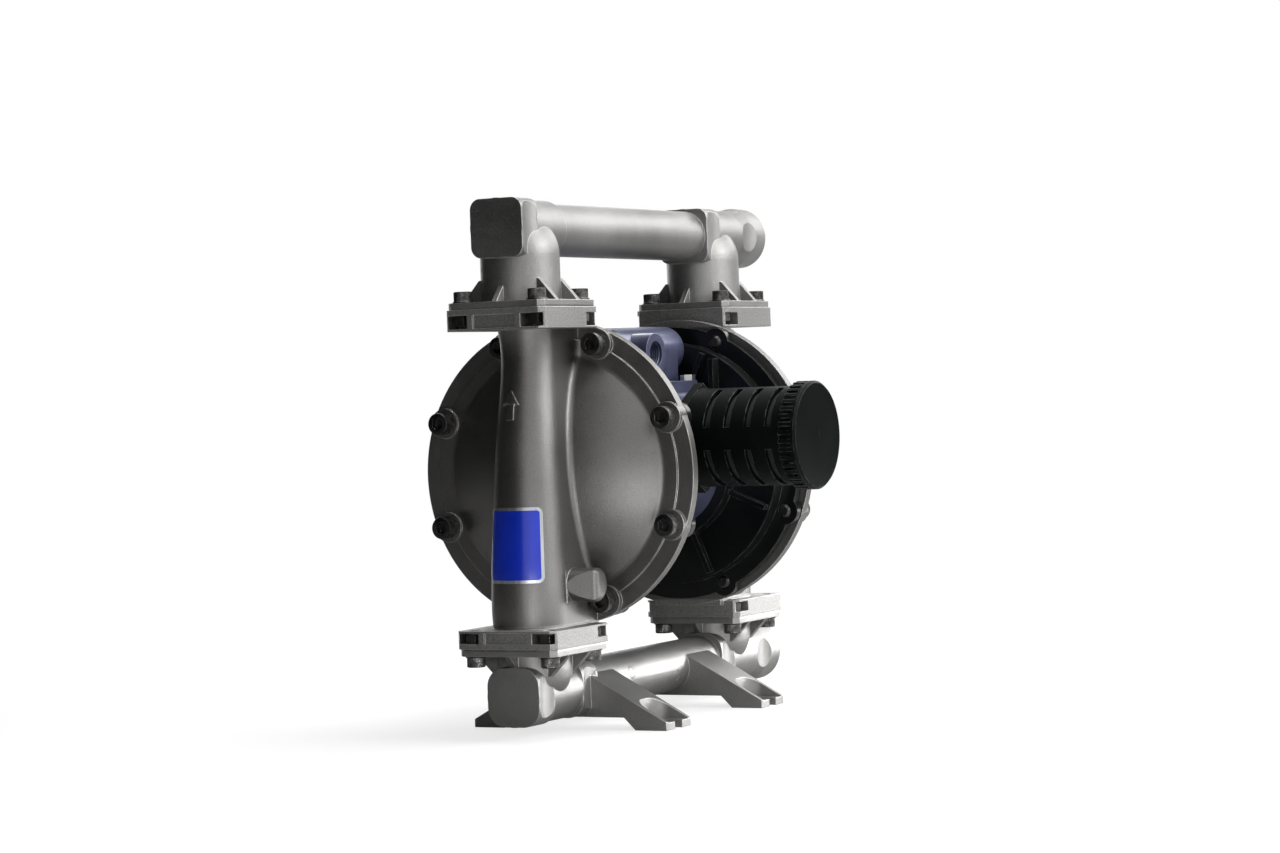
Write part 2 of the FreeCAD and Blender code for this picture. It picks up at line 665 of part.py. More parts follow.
def fluid_cover(side):
    body = new_body(f"fluid_cover_{side}", rise=size.shaft_height, turn=SIDES[side])
    revolve(body, "y", cover_dome())
    column(body)
    doc.recompute()
    fillet(body, size.column_round, meets_dome(body.Tip.Shape))
    bolt_x, bolt_z = turned(size.bolt_circle, 180 / number(size.cover_bolt_count))
    boss = extrude(body, "y", rim_back, boss_front, Disc(bolt_x, bolt_z, size.boss_radius))
    polar_pattern(body, [boss], "Y", size.cover_bolt_count)
    square = chamfered_square(0, size.riser_offset, size.cover_flange_half, size.flange_chamfer)
    extrude(body, "z", top_flange_foot, size.top_split, square)
    extrude(body, "z", -size.bottom_split, bottom_flange_head, square)
    lug(body)

    chamber_edge = size.dome_radius - size.band_height
    revolve(body, "y", Outline(
        (rim_back, 0),
        (rim_back, chamber_edge),
        (rim_back + size.band_height, chamber_edge),
        Arc(upward=0, clockwise=True),
        (dome_top - size.cover_wall, 0),
    ), cut=True)
    seat_floor = -size.bottom_split
    ball_well = Disc(0, size.riser_offset, size.seat_radius)
    cut_through(body, "z", seat_floor, seat_floor + size.seat_height, ball_well)
    cage = Disc(0, size.riser_offset, size.cage_radius)
    cut_through(body, "z", seat_floor, seat_floor + cage_top, cage)
    passage = Disc(0, size.riser_offset, size.passage_radius)
    cut_through(body, "z", seat_floor, size.top_split, passage)
    for rise in (-size.window_rise, size.window_rise):
        cut_through(body, "y", rim_back, size.riser_offset, Disc(0, rise, size.window_radius))

    hole = size.cover_bolt_radius + size.bolt_gap
    bolt_hole = cut_through(body, "y", rim_back, boss_front, Disc(bolt_x, bolt_z, hole))
    polar_pattern(body, [bolt_hole], "Y", size.cover_bolt_count)
    holes = [
        Disc(x, y, size.flange_bolt_radius + size.bolt_gap)
        for x, y in flange_bolt_points([size.riser_offset])
    ]
    cut_through(body, "z", top_flange_foot, size.top_split, *holes)
    cut_through(body, "z", -size.bottom_split, bottom_flange_head, *holes)
    nut_pockets(body, top_flange_foot + size.pocket_lip, size.top_split - size.nut_land)
    nut_pockets(body, size.nut_land - size.bottom_split, bottom_flange_head - size.pocket_lip)
    return body


def cover_bolts(side):
    body = new_body(f"cover_bolts_{side}", rise=size.shaft_height, turn=SIDES[side])
    count = int(number(size.cover_bolt_count))
    points = [turned(size.bolt_circle, 360 / count * (k + 0.5)) for k in range(count)]
    tip = flange_back - size.bolt_tip
    head_top = boss_front + size.cover_head_height
    extrude(body, "y", tip, boss_front, *(Disc(x, z, size.cover_bolt_radius) for x, z in points))
    extrude(body, "y", boss_front, head_top, *(Disc(x, z, size.cover_head_radius) for x, z in points))
    cut_through(
        body, "y", head_top - size.cover_head_height / 2, head_top,
        *(hexagon(x, z, size.cover_head_radius) for x, z in points),
    )
    return body


# Diaphragms, their plates and the shaft

def diaphragm(side):
    body = new_body(f"diaphragm_{side}", rise=size.shaft_height, turn=SIDES[side])
    half = size.convolution_half
    rise = size.convolution_rise
    sink = (half * half - rise * rise) / (rise * 2)
    centre = size.clamp_plane - sink
    outer_radius = sink + rise + size.diaphragm_thickness
    chord = sink + size.diaphragm_thickness
    outer_half = root(outer_radius * outer_radius - chord * chord)
    middle = size.convolution_middle
    revolve(body, "y", Outline(
        (size.clamp_plane, size.shaft_bolt_radius + size.bolt_gap),
        (size.clamp_plane, middle - half),
        Arc(across=centre),
        (size.clamp_plane, middle + half),
        (size.clamp_plane, size.bolt_circle - size.cover_bolt_radius - size.bolt_gap),
        (rim_back, size.bolt_circle - size.cover_bolt_radius - size.bolt_gap),
        (rim_back, middle + outer_half),
        Arc(across=centre, clockwise=True),
        (rim_back, middle - outer_half),
        (rim_back, size.shaft_bolt_radius + size.bolt_gap),
    ))
    return body


def fluid_plate(side):
    body = new_body(f"fluid_side_plate_{side}", rise=size.shaft_height, turn=SIDES[side])
    thin = size.fluid_plate_thickness / 2
    revolve(body, "y", Outline(
        (rim_back, size.shaft_bolt_radius + size.running_gap),
        (rim_back, size.fluid_plate_radius - thin),
        (rim_back + thin, size.fluid_plate_radius),
        (fluid_plate_front, size.fluid_plate_radius - size.fluid_plate_thickness * 2),
        (fluid_plate_front, size.shaft_bolt_radius + size.running_gap),
    ))
    return body


def air_plate(side):
    body = new_body(f"air_side_plate_{side}", rise=size.shaft_height, turn=SIDES[side])
    thin = size.air_plate_thickness / 2
    revolve(body, "y", Outline(
        (shaft_end, size.shaft_bolt_radius + size.running_gap),
        (shaft_end, size.air_plate_radius - size.air_plate_thickness),
        (size.clamp_plane - thin, size.air_plate_radius),
        (size.clamp_plane, size.air_plate_radius - thin),
        (size.clamp_plane, size.shaft_bolt_radius + size.running_gap),
    ))
    return body


def shaft_bolt(side):
    body = new_body(f"shaft_bolt_{side}", rise=size.shaft_height, turn=SIDES[side])
    head_top = fluid_plate_front + size.shaft_bolt_head
    extrude(
        body, "y", shaft_end - size.shaft_bolt_grip, fluid_plate_front,
        Disc(0, 0, size.shaft_bolt_radius),
    )
    extrude(body, "y", fluid_plate_front, head_top, hexagon(0, 0, size.shaft_bolt_flats))
    return body


def main_shaft():
    body = new_body("main_shaft", rise=size.shaft_height)
    extrude(body, "y", -shaft_end, shaft_end, Disc(0, 0, size.shaft_radius))
    depth = shaft_end - size.shaft_bolt_grip - size.shaft_bolt_radius
    thread = Disc(0, 0, size.shaft_bolt_radius + size.running_gap)
    cut_through(body, "y", depth, shaft_end, thread)
    cut_through(body, "y", -shaft_end, -depth, thread)
    return body


# Air covers

def air_cover(side):
    body = new_body(f"air_cover_{side}", rise=size.shaft_height, turn=SIDES[side])
    dish_bore = size.dish_radius - size.dish_wall
    drum_bore = size.drum_radius - size.dish_wall
    revolve(body, "y", Outline(
        (size.drum_back, size.spigot_radius),
        (size.drum_back, size.drum_radius),
        (size.dish_back, size.drum_radius),
        (size.dish_back, size.dish_radius),
        (flange_back, size.dish_radius),
        (flange_back, size.air_flange_radius),
        (size.clamp_plane, size.air_flange_radius),
        (size.clamp_plane, dish_bore),
        (size.dish_back + size.dish_wall, dish_bore),
        (size.dish_back + size.dish_wall, drum_bore),
        (drum_front, drum_bore),
        (drum_front, size.spigot_radius),
    ))
    bolt_x, bolt_z = turned(size.bolt_circle, 180 / number(size.cover_bolt_count))
    lobe = extrude(
        body, "y", flange_back, size.clamp_plane,
        Disc(bolt_x, bolt_z, size.rim_radius - size.bolt_circle),
    )
    polar_pattern(body, [lobe], "Y", size.cover_bolt_count)
    half_rib = size.air_rib_thickness / 2
    rib_angle = 180 / number(size.cover_bolt_count)
    rib_ends = [
        turned(radius, rib_angle)
        for radius in (size.drum_radius - half_rib, size.dish_radius - half_rib)
    ]
    side_x, side_z = turned(half_rib, rib_angle + 90)
    rib = extrude(
        body, "y", size.drum_back + size.dish_wall, size.dish_back,
        Outline(
            *((x - side_x, z - side_z) for x, z in rib_ends),
            *((x + side_x, z + side_z) for x, z in reversed(rib_ends)),
        ),
    )
    polar_pattern(body, [rib], "Y", size.cover_bolt_count)
    web_top = root(size.dish_radius * size.dish_radius - size.web_offset * size.web_offset)
    for side_sign in (-1, 1):
        web = side_sign * size.web_offset
        extrude(
            body, "y", size.drum_back + half_rib, size.dish_back,
            rectangle(web - half_rib, web + half_rib, size.web_offset, web_top - half_rib),
        )
    thread = Disc(bolt_x, bolt_z, size.cover_bolt_radius + size.running_gap)
    tapped = cut_through(body, "y", flange_back, size.clamp_plane, thread)
    polar_pattern(body, [tapped], "Y", size.cover_bolt_count)
    cut_through(
        body, "y", size.drum_back, drum_front,
        Disc(0, -size.pin_offset, size.pin_radius + size.running_gap * 2),
    )
    screw_x, screw_z = air_cover_screw_points()[0]
    hole = cut_through(
        body, "y", size.drum_back, drum_front,
        Disc(screw_x, screw_z, size.valve_screw_radius + size.bolt_gap),
    )
    counterbore = cut_through(
        body, "y", drum_front - size.valve_screw_head - head_sink, drum_front,
        Disc(screw_x, screw_z, size.valve_screw_head + size.bolt_gap),
    )
    polar_pattern(body, [hole, counterbore], "Y", size.air_screw_count)
    return body


def air_cover_screw_points():
    """The screws stand between the spigot and the wall of the drum."""
    circle = (size.spigot_radius + size.drum_radius) / 2 + size.bolt_gap
    count = int(number(size.air_screw_count))
    return [turned(circle, 360 / count * k) for k in range(count)]


def air_cover_screws(side):
    body = new_body(f"air_cover_screws_{side}", rise=size.shaft_height, turn=SIDES[side])
    points = air_cover_screw_points()
    seat = drum_front - size.valve_screw_head - head_sink
    tip = size.drum_back - size.valve_screw_radius * 4
    head_top = drum_front - head_sink
    extrude(body, "y", tip, seat, *(Disc(x, z, size.valve_screw_radius) for x, z in points))
    extrude(body, "y", seat, head_top, *(Disc(x, z, size.valve_screw_head) for x, z in points))
    cut_through(
        body, "y", head_top - size.valve_screw_head / 2, head_top,
        *(hexagon(x, z, size.valve_screw_head) for x, z in points),
    )
    return body


# Centre housing

def center_housing():
    body = new_body("center_housing", rise=size.shaft_height)
    spigot_end = size.drum_back + size.spigot_length
    extrude(body, "y", -size.drum_back, size.drum_back, Disc(0, 0, size.core_radius))
    extrude(
        body, "y", -spigot_end, spigot_end,
        Disc(0, 0, size.spigot_radius - size.running_gap),
    )
    barrel_end = size.dish_back - size.face_gap
    extrude(body, "y", -barrel_end, barrel_end, Disc(0, size.barrel_rise, size.barrel_radius))
    extrude(
        body, "z", size.core_radius / 2, size.barrel_rise,
        rectangle(
            -size.barrel_radius, size.barrel_radius,
            -size.ledge_half_length, size.ledge_half_length,
        ),
    )
    extrude(
        body, "z", size.core_radius / 2, size.ledge_rise,
        rectangle(
            -size.ledge_half_width, size.ledge_half_width,
            -size.ledge_half_length, size.ledge_half_length,
        ),
    )
    extrude(body, "x", 0, size.inlet_face, Disc(0, size.inlet_rise, size.inlet_boss_radius))
    extrude(body, "x", 0, size.exhaust_face, Disc(0, size.exhaust_rise, size.exhaust_boss_radius))
    half = size.valve_half_height + size.valve_screw_radius
    extrude(
        body, "x", -size.valve_face, 0,
        rectangle(-size.valve_half_length, size.valve_half_length, -half, half),
    )

    pocket = Disc(0, 0, size.bearing_radius)
    bearing_floor = spigot_end - size.shaft_seal_length - size.bearing_length
    cut_through(body, "y", bearing_floor, spigot_end, pocket)
    cut_through(body, "y", -spigot_end, -bearing_floor, pocket)
    cut_through(
        body, "y", -bearing_floor, bearing_floor,
        Disc(0, 0, size.shaft_radius + size.bolt_gap),
    )
    cut_through(
        body, "x", size.inlet_face - size.inlet_depth, size.inlet_face,
        Disc(0, size.inlet_rise, size.inlet_bore),
    )
    cut_through(
        body, "x", size.exhaust_face - size.exhaust_depth, size.exhaust_face,
        Disc(0, size.exhaust_rise, size.exhaust_bore),
    )
    cut_through(
        body, "x", -size.valve_face, size.exhaust_face,
        Disc(0, size.exhaust_rise, size.exhaust_passage),
    )
    bushing_floor = size.drum_back - size.bushing_length
    well_floor = bushing_floor - size.bushing_length * 2
    for sign in (-1, 1):
        bushing = sorted((sign * bushing_floor, sign * size.drum_back), key=number)
        cut_through(body, "y", *bushing, Disc(0, -size.pin_offset, size.bushing_radius))
        well = sorted((sign * well_floor, sign * bushing_floor), key=number)
        collar_well = Disc(0, -size.pin_offset, size.pin_collar_radius + size.bolt_gap)
        cut_through(body, "y", *well, collar_well)
        screw_tip = size.drum_back - size.valve_screw_radius * 5
        threads = sorted((sign * screw_tip, sign * size.drum_back), key=number)
        cut_through(body, "y", *threads, *(
            Disc(x, z, size.valve_screw_radius + size.running_gap)
            for x, z in air_cover_screw_points()
        ))
    cut_through(
        body, "x", -size.valve_face, size.valve_screw_radius * 4 - size.valve_face,
        *(Disc(y, z, size.valve_screw_radius + size.running_gap) for y, z in valve_screw_points()),
    )
    cut_through(
        body, "z", size.ledge_rise - size.ground_screw_depth, size.ledge_rise,
        Disc(*ground_screw_point(), size.ground_screw_radius + size.running_gap),
    )
    return body


def ground_screw_point():
    """The screw stands in the corner of the ledge."""
    corner = size.ground_screw_flats / math.sqrt(3)
    return size.ledge_half_width - size.ground_screw_flats / 2, size.ledge_half_length - corner


def ground_screw():
    body = new_body("ground_screw", rise=size.shaft_height)
    x, y = ground_screw_point()
    start = size.ledge_rise - size.ground_screw_depth + size.bolt_gap
    head_top = size.ledge_rise + size.ground_screw_height
    extrude(body, "z", start, size.ledge_rise, Disc(x, y, size.ground_screw_radius))
    extrude(body, "z", size.ledge_rise, head_top, hexagon(x, y, size.ground_screw_flats, first=30.0))
    return body


def shaft_bearing(side):
    body = new_body(f"shaft_bearing_{side}", rise=size.shaft_height, turn=SIDES[side])
    end = size.drum_back + size.spigot_length - size.shaft_seal_length
    start = end - size.bearing_length
    extrude(
        body, "y", start, end,
        Disc(0, 0, size.bearing_radius), Disc(0, 0, size.shaft_radius + size.running_gap),
    )
    return body


def shaft_seal(side):
    body = new_body(f"shaft_seal_{side}", rise=size.shaft_height, turn=SIDES[side])
    end = size.drum_back + size.spigot_length
    start = end - size.shaft_seal_length
    bore = size.shaft_radius + size.running_gap
    lip = (size.bearing_radius - size.shaft_radius) / 3
    revolve(body, "y", Outline(
        (start, bore),
        (start, size.bearing_radius),
        (end, size.bearing_radius),
        (end, size.bearing_radius - lip),
        (start + size.shaft_seal_length / 3, bore + lip),
        (end, bore + lip / 2),
        (end, bore),
    ))
    return body


def pilot_pin(side):
    body = new_body(
        f"pilot_pin_{side}", rise=size.shaft_height - size.pin_offset, turn=SIDES[side],
    )
    collar_start = size.drum_back - size.bushing_length * 2
    collar_end = collar_start + size.pin_radius
    extrude(body, "y", collar_start, pin_tip, Disc(0, 0, size.pin_radius))
    extrude(body, "y", collar_start, collar_end, Disc(0, 0, size.pin_collar_radius))
    return body


def pilot_bushing(side):
    body = new_body(
        f"pilot_bushing_{side}", rise=size.shaft_height - size.pin_offset, turn=SIDES[side],
    )
    extrude(
        body, "y", size.drum_back - size.bushing_length, size.drum_back,
        Disc(0, 0, size.bushing_radius), Disc(0, 0, size.pin_radius + size.running_gap),
    )
    return body


# Air valve on the -X side

def valve_screw_points():
    y = size.valve_half_length - size.valve_screw_margin
    z = size.valve_half_height - size.valve_screw_margin
    return [(side * y, end * z) for side in (-1, 1) for end in (-1, 1)]


def air_valve_body():
    body = new_body("air_valve_body", rise=size.shaft_height)
    near = -size.valve_face - size.gasket_thickness
    far = -size.valve_face - size.valve_depth
    extrude(body, "x", far, near, rectangle(
        -size.valve_half_length, size.valve_half_length,
        -size.valve_half_height, size.valve_half_height,
    ))
    fillet(body, size.valve_screw_radius, lambda edge: (
        abs(edge.BoundBox.XMin - number(far)) < 0.01 and abs(edge.BoundBox.XMax - number(far)) < 0.01
    ))
    spool = Disc(-size.spool_axis, 0, size.spool_radius)
    cut_through(body, "y", -size.valve_half_length, size.valve_half_length, spool)
    cut_through(body, "x", -size.spool_axis, near, valve_chest())
    cut_through(
        body, "x", far, near,
        *(Disc(y, z, size.valve_screw_radius + size.bolt_gap) for y, z in valve_screw_points()),
    )
    return body


def valve_chest(gap=0):
    """Outline of the chest that the ceramic plate lies in."""
    half = size.valve_half_length / 2 - gap
    height = size.spool_radius + size.chest_gap - gap
    return rectangle(-half, half, -height, height)


def air_valve_gasket():
    body = new_body("air_valve_gasket", rise=size.shaft_height)
    extrude(
        body, "x", -size.valve_face - size.gasket_thickness, -size.valve_face,
        rectangle(
            -size.valve_half_length, size.valve_half_length,
            -size.valve_half_height, size.valve_half_height,
        ),
        valve_chest(),
        *(Disc(y, z, size.valve_screw_radius + size.bolt_gap) for y, z in valve_screw_points()),
    )
    return body


def air_valve_screws():
    body = new_body("air_valve_screws", rise=size.shaft_height)
    far = -size.valve_face - size.valve_depth
    points = valve_screw_points()
    tip = size.valve_screw_radius * 3 - size.valve_face
    extrude(body, "x", far, tip, *(Disc(y, z, size.valve_screw_radius) for y, z in points))
    head_end = far - size.valve_screw_head
    extrude(body, "x", head_end, far, *(Disc(y, z, size.valve_screw_head) for y, z in points))
    cut_through(
        body, "x", head_end, head_end + size.valve_screw_head / 2,
        *(hexagon(y, z, size.valve_screw_head) for y, z in points),
    )
    return body


def valve_plate():
    body = new_body("valve_plate", rise=size.shaft_height)
    port_height = size.exhaust_passage
    port = rectangle(-size.valve_port_half, size.valve_port_half, -port_height, port_height)
    side_ports = [
        rectangle(
            sign * size.side_port_offset - size.side_port_half,
            sign * size.side_port_offset + size.side_port_half,
            -port_height, port_height,
        )
        for sign in (-1, 1)
    ]
    extrude(
        body, "x", -size.valve_face - size.valve_plate_thickness, -size.valve_face,
        valve_chest(size.face_gap), port, *side_ports,
    )
    return body


def valve_cup():
    body = new_body("valve_cup", rise=size.shaft_height)
    start = size.valve_face + size.valve_plate_thickness + size.running_gap
    half = size.spool_radius - size.face_gap
    extrude(
        body, "x", -start - size.cup_thickness, -start,
        rectangle(-half, half, -size.spool_neck_radius, size.spool_neck_radius),
    )
    cut_through(
        body, "x", -start - size.cup_thickness / 2, -start,
        rectangle(
            size.cup_wall - half, half - size.cup_wall,
            -size.exhaust_passage, size.exhaust_passage,
        ),
    )
    return body


def spool_end():
    """Spool half length: it stops on the end plugs at both ends of its travel."""
    return size.valve_half_length - size.end_plug_grip - size.spool_shift - size.face_gap


def valve_spool():
    body = new_body("valve_spool", rise=size.shaft_height, across=-size.spool_axis)
    radius = size.spool_radius - size.running_gap
    end = spool_end()
    inner = end - size.spool_land
    groove = size.spool_radius
    neck = size.spool_neck_radius
    extrude(body, "y", -end, end, Disc(0, 0, neck))
    for sign in (-1, 1):
        edges = sorted((sign * inner, sign * end), key=number)
        extrude(body, "y", *edges, Disc(0, 0, radius))
    cup_back = size.valve_face + size.valve_plate_thickness + size.running_gap + size.cup_thickness
    flat = size.spool_axis - cup_back - size.face_gap
    room = neck + size.chest_gap
    cut_through(body, "y", -groove, groove, rectangle(flat, size.spool_axis, -room, room))
    return body


def valve_end_plug(side):
    body = new_body(
        f"valve_end_plug_{side}",
        rise=size.shaft_height, across=-size.spool_axis, turn=SIDES[side],
    )
    start = size.valve_half_length - size.end_plug_grip
    end = size.valve_half_length + size.end_plug_flange
    extrude(
        body, "y", start, size.valve_half_length,
        Disc(0, 0, size.spool_radius - size.running_gap),
    )
    extrude(body, "y", size.valve_half_length, end, hexagon(0, 0, size.end_plug_flats))
    return body


# Muffler

def muffler_body():
    body = new_body("muffler_body", rise=size.shaft_height + size.exhaust_rise)
    shell = size.muffler_radius - size.muffler_wall
    neck = size.exhaust_bore - size.running_gap
    start = size.muffler_start
    revolve(body, "x", Outline(
        (size.exhaust_face - size.muffler_neck, neck - size.muffler_wall),
        (size.exhaust_face - size.muffler_neck, neck),
        (start, neck),
        (start, size.muffler_radius),
        (size.muffler_end, size.muffler_radius),
        (size.muffler_end, shell),
        (start + size.muffler_wall, shell),
        (start + size.muffler_wall, neck - size.muffler_wall),
    ))
    extrude(
        body, "x", size.exhaust_face, start,
        hexagon(0, 0, size.muffler_flats, first=30.0), Disc(0, 0, neck - size.muffler_wall),
    )
    inner = shell - size.muffler_wall
    outer = size.muffler_radius + size.muffler_wall
    wedges = []
    for quarter in range(4):
        angles = [quarter * 90 + number(angle) for angle in (size.slot_from, size.slot_to)]
        bisector = turned(outer * math.sqrt(2), sum(angles) / 2)
        wedges.append(Outline(
            turned(inner, angles[0]), turned(outer, angles[0]),
            bisector,
            turned(outer, angles[1]), turned(inner, angles[1]),
        ))
    for k in range(int(number(size.slot_rows))):
        middle = size.slot_first + size.slot_pitch * k
        cut_through(body, "x", middle - size.slot_width / 2, middle + size.slot_width / 2, *wedges)
    return body


def muffler_element():
    body = new_body("muffler_element", rise=size.shaft_height + size.exhaust_rise)
    outer = size.muffler_radius - size.muffler_wall - size.face_gap
    start = size.muffler_start + size.muffler_wall
    end = size.muffler_end - size.muffler_wall * 2
    extrude(
        body, "x", start, end,
        Disc(0, 0, outer), Disc(0, 0, outer - size.muffler_wall * 2),
    )
    return body


def muffler_cap():
    body = new_body("muffler_cap", rise=size.shaft_height + size.exhaust_rise)
    end = size.muffler_end + size.cap_thickness
    round_over = size.muffler_wall / 2
    spigot = size.muffler_radius - size.muffler_wall - size.face_gap
    revolve(body, "x", Outline(
        (size.muffler_end - size.muffler_wall * 2, spigot - size.muffler_wall),
        (size.muffler_end - size.muffler_wall * 2, spigot),
        (size.muffler_end, spigot),
        (size.muffler_end, size.cap_radius),
        (end - round_over, size.cap_radius),
        (end, size.cap_radius - round_over),
        (end + round_over / 2, 0),
        (end - size.muffler_wall, 0),
        (end - size.muffler_wall, spigot - size.muffler_wall),
    ))
    notch_half = size.cap_radius * math.sin(math.pi / number(size.cap_teeth)) / 2
    notch = cut_through(
        body, "x", size.muffler_end, end - round_over * 2,
        rectangle(
            -notch_half, notch_half,
            size.cap_radius - size.cap_notch, size.cap_radius + size.cap_notch,
        ),
    )
    polar_pattern(body, [notch], "X", size.cap_teeth)
    return body


# Manifolds

def manifold(label, rise, joint, turn, riser_radius, corner, squares):
    """Pipe, two tees and their risers. The risers point up in the frame of the body."""
    body = new_body(label, rise=rise, turn=turn, turn_axis=(0, 1, 0))
    flange_back_face = joint - size.manifold_flange_thickness
    offsets = (-size.riser_offset, size.riser_offset)
    extrude(body, "y", -size.riser_offset, size.riser_offset, Disc(0, 0, size.pipe_radius))
    for offset in offsets:
        extrude(
            body, "y", offset - size.tee_reach, offset + size.tee_reach,
            Disc(0, 0, size.tee_radius),
        )
    port_collar(body)
    for start in squares:
        squared_block(body, start, corner)
    for offset in offsets:
        riser(body, offset, joint, riser_radius)
        extrude(
            body, "z", flange_back_face, joint,
            chamfered_square(0, offset, size.manifold_flange_half, size.flange_chamfer),
        )
        gussets(body, offset, flange_back_face, riser_radius)
    return body


def port_collar(body):
    """The far tee widens to the port collar, with four shallow hollows in the cone."""
    tee_end = size.riser_offset + size.tee_reach
    revolve(body, "y", Outline(
        (size.riser_offset, 0),
        (size.riser_offset, size.tee_radius),
        (tee_end, size.tee_radius),
        (size.port_collar_start, size.port_collar_radius),
        (size.port_face, size.port_collar_radius),
        (size.port_face, 0),
    ))
    middle = (tee_end + size.port_collar_start) / 2
    for axis in ("x", "z"):
        hollows(
            body, axis, middle,
            size.tee_radius, size.collar_scoop_half, size.collar_scoop_depth,
        )


def hollows(body, axis, middle, surface, half, depth):
    """Two hollows that face each other, cut by discs along an upright or a cross axis."""
    radius = (half * half + depth * depth) / (depth * 2)
    offset = surface + radius - depth
    if axis == "z":
        discs = [Disc(sign * offset, middle, radius) for sign in (-1, 1)]
    else:
        discs = [Disc(middle, sign * offset, radius) for sign in (-1, 1)]
    reach = size.port_collar_radius + depth
    cut_through(body, axis, -reach, reach, *discs)


def squared_block(body, start, corner):
    """A tee ends as a rounded square block with a hollow in each side."""
    end = start + size.end_square_length
    extrude(body, "y", start, end, rounded_square(size.tee_radius - size.face_gap, corner))
    hollows(
        body, "z", start + size.scoop_half + size.face_gap * 4,
        size.tee_radius, size.scoop_half, size.scoop_depth,
    )


def rounded_square(half, corner):
    flat = half - corner
    return Outline(
        (flat, -half), Arc(upward=-flat), (half, -flat),
        (half, flat), Arc(upward=flat), (flat, half),
        (-flat, half), Arc(upward=flat), (-half, flat),
        (-half, -flat), Arc(upward=-flat), (-flat, -half),
    )


def riser(body, offset, joint, radius):
    """An upright drum whose closed end is a dome inside the tee."""
    revolve(body, "z", Outline(
        (size.riser_dome_drop - radius, 0),
        Arc(upward=0, clockwise=True),
        (size.riser_dome_drop, radius),
        (joint, radius),
        (joint, 0),
    ), shift=offset)


def gussets(body, offset, flange_level, riser_radius):
    """Triangular ribs: two on each side of the riser, one toward each end."""
    wall = riser_radius - size.gusset_thickness
    reach = size.manifold_flange_half - size.gusset_margin
    foot = flange_level - size.gusset_height
    half = size.gusset_thickness / 2
    for side in (-1, 1):
        triangle = Outline(
            (side * wall / 2, flange_level),
            (side * reach, flange_level),
            (side * wall, foot),
            (side * wall / 2, foot),
        )
        for end in (-1, 1):
            middle = offset + end * size.gusset_spacing
            extrude(body, "y", middle - half, middle + half, triangle)
        extrude(body, "x", -half, half, Outline(
            (offset + side * wall / 2, flange_level),
            (offset + side * reach, flange_level),
            (offset + side * wall, foot),
            (offset + side * wall / 2, foot),
        ))


def manifold_holes(body, joint):
    offsets = (-size.riser_offset, size.riser_offset)
    cut_through(
        body, "y", -size.riser_offset, size.port_face,
        Disc(0, 0, size.pipe_bore),
    )
    cut_through(
        body, "y", size.port_face - size.port_depth, size.port_face,
        Disc(0, 0, size.port_bore),
    )
    cut_through(body, "z", joint - size.manifold_flange_thickness, joint, *(
        Disc(x, y, size.flange_bolt_radius + size.bolt_gap) for x, y in flange_bolt_points(offsets)
    ))


def outlet_manifold():
    joint = size.outlet_axis_rise
    body = manifold(
        "outlet_manifold", outlet_joint + size.outlet_axis_rise, joint, turn=180.0,
        riser_radius=size.riser_radius, corner=size.outlet_end_corner,
        squares=(-size.riser_offset - size.tee_reach, size.riser_offset - size.tee_reach),
    )
    manifold_holes(body, joint)
    for offset in (-size.riser_offset, size.riser_offset):
        cut_through(body, "z", 0, joint, Disc(0, offset, size.passage_radius))
        cut_through(body, "z", joint - cage_top, joint, Disc(0, offset, size.cage_radius))
        cut_through(body, "z", joint - size.seat_height, joint, Disc(0, offset, size.seat_radius))
    return body


def inlet_manifold():
    joint = size.inlet_axis_drop
    rise = inlet_joint - joint
    body = manifold(
        "inlet_manifold", rise, joint, turn=0.0,
        riser_radius=size.inlet_riser_radius, corner=size.inlet_end_corner,
        squares=(
            -size.riser_offset - size.tee_reach,
            size.tee_reach - size.riser_offset,
            size.riser_offset - size.tee_reach,
        ),
    )
    floor = -rise
    slope_top = size.foot_slope_top
    pad_start = size.foot_reach - size.foot_pad_length
    profile = Outline(
        (-size.foot_slope_start, slope_top),
        (-size.foot_reach, floor + size.foot_tip_height),
        (-size.foot_reach, floor),
        (-pad_start, floor),
        (size.foot_arch - pad_start, floor + size.foot_arch),
        (pad_start - size.foot_arch, floor + size.foot_arch),
        (pad_start, floor),
        (size.foot_reach, floor),
        (size.foot_reach, floor + size.foot_tip_height),
        (size.foot_slope_start, slope_top),
    )
    for foot in (-size.foot_offset, size.foot_offset):
        extrude(body, "y", foot - size.foot_half_width, foot + size.foot_half_width, profile)
    for foot in (-size.foot_offset, size.foot_offset):
        for side in (-1, 1):
            foot_tray(body, side, foot, floor, slope_top)
            foot_slot(body, side, foot, floor, slope_top)
    manifold_holes(body, joint)
    for offset in (-size.riser_offset, size.riser_offset):
        cut_through(body, "z", 0, joint, Disc(0, offset, size.inlet_passage_radius))
    return body


def foot_tray(body, side, foot, floor, top):
    """A sunk tray open to the tip, round at its inner corners."""
    half = size.foot_half_width - size.foot_rim
    corner = size.foot_tray_corner
    inner = size.foot_reach - size.foot_tray_length
    tip = size.foot_reach + size.foot_rim
    cut_through(
        body, "z", floor + size.foot_tray_floor, top,
        Outline(
            (side * (inner + corner), foot - side * half),
            (side * tip, foot - side * half),
            (side * tip, foot + side * half),
            (side * (inner + corner), foot + side * half),
            Arc(across=side * (inner + corner)),
            (side * inner, foot + side * (half - corner)),
            (side * inner, foot - side * (half - corner)),
            Arc(across=side * (inner + corner)),
        ),
    )


def foot_slot(body, side, foot, floor, top):
    slot = size.foot_slot_half
    inner = size.foot_reach - size.foot_slot_length
    edges = sorted((side * inner, side * (size.foot_reach + slot)), key=number)
    cut_through(body, "z", floor, top, rectangle(*edges, foot - slot, foot + slot))
    cut_through(body, "z", floor, top, Disc(side * inner, foot, slot))


# Check valves

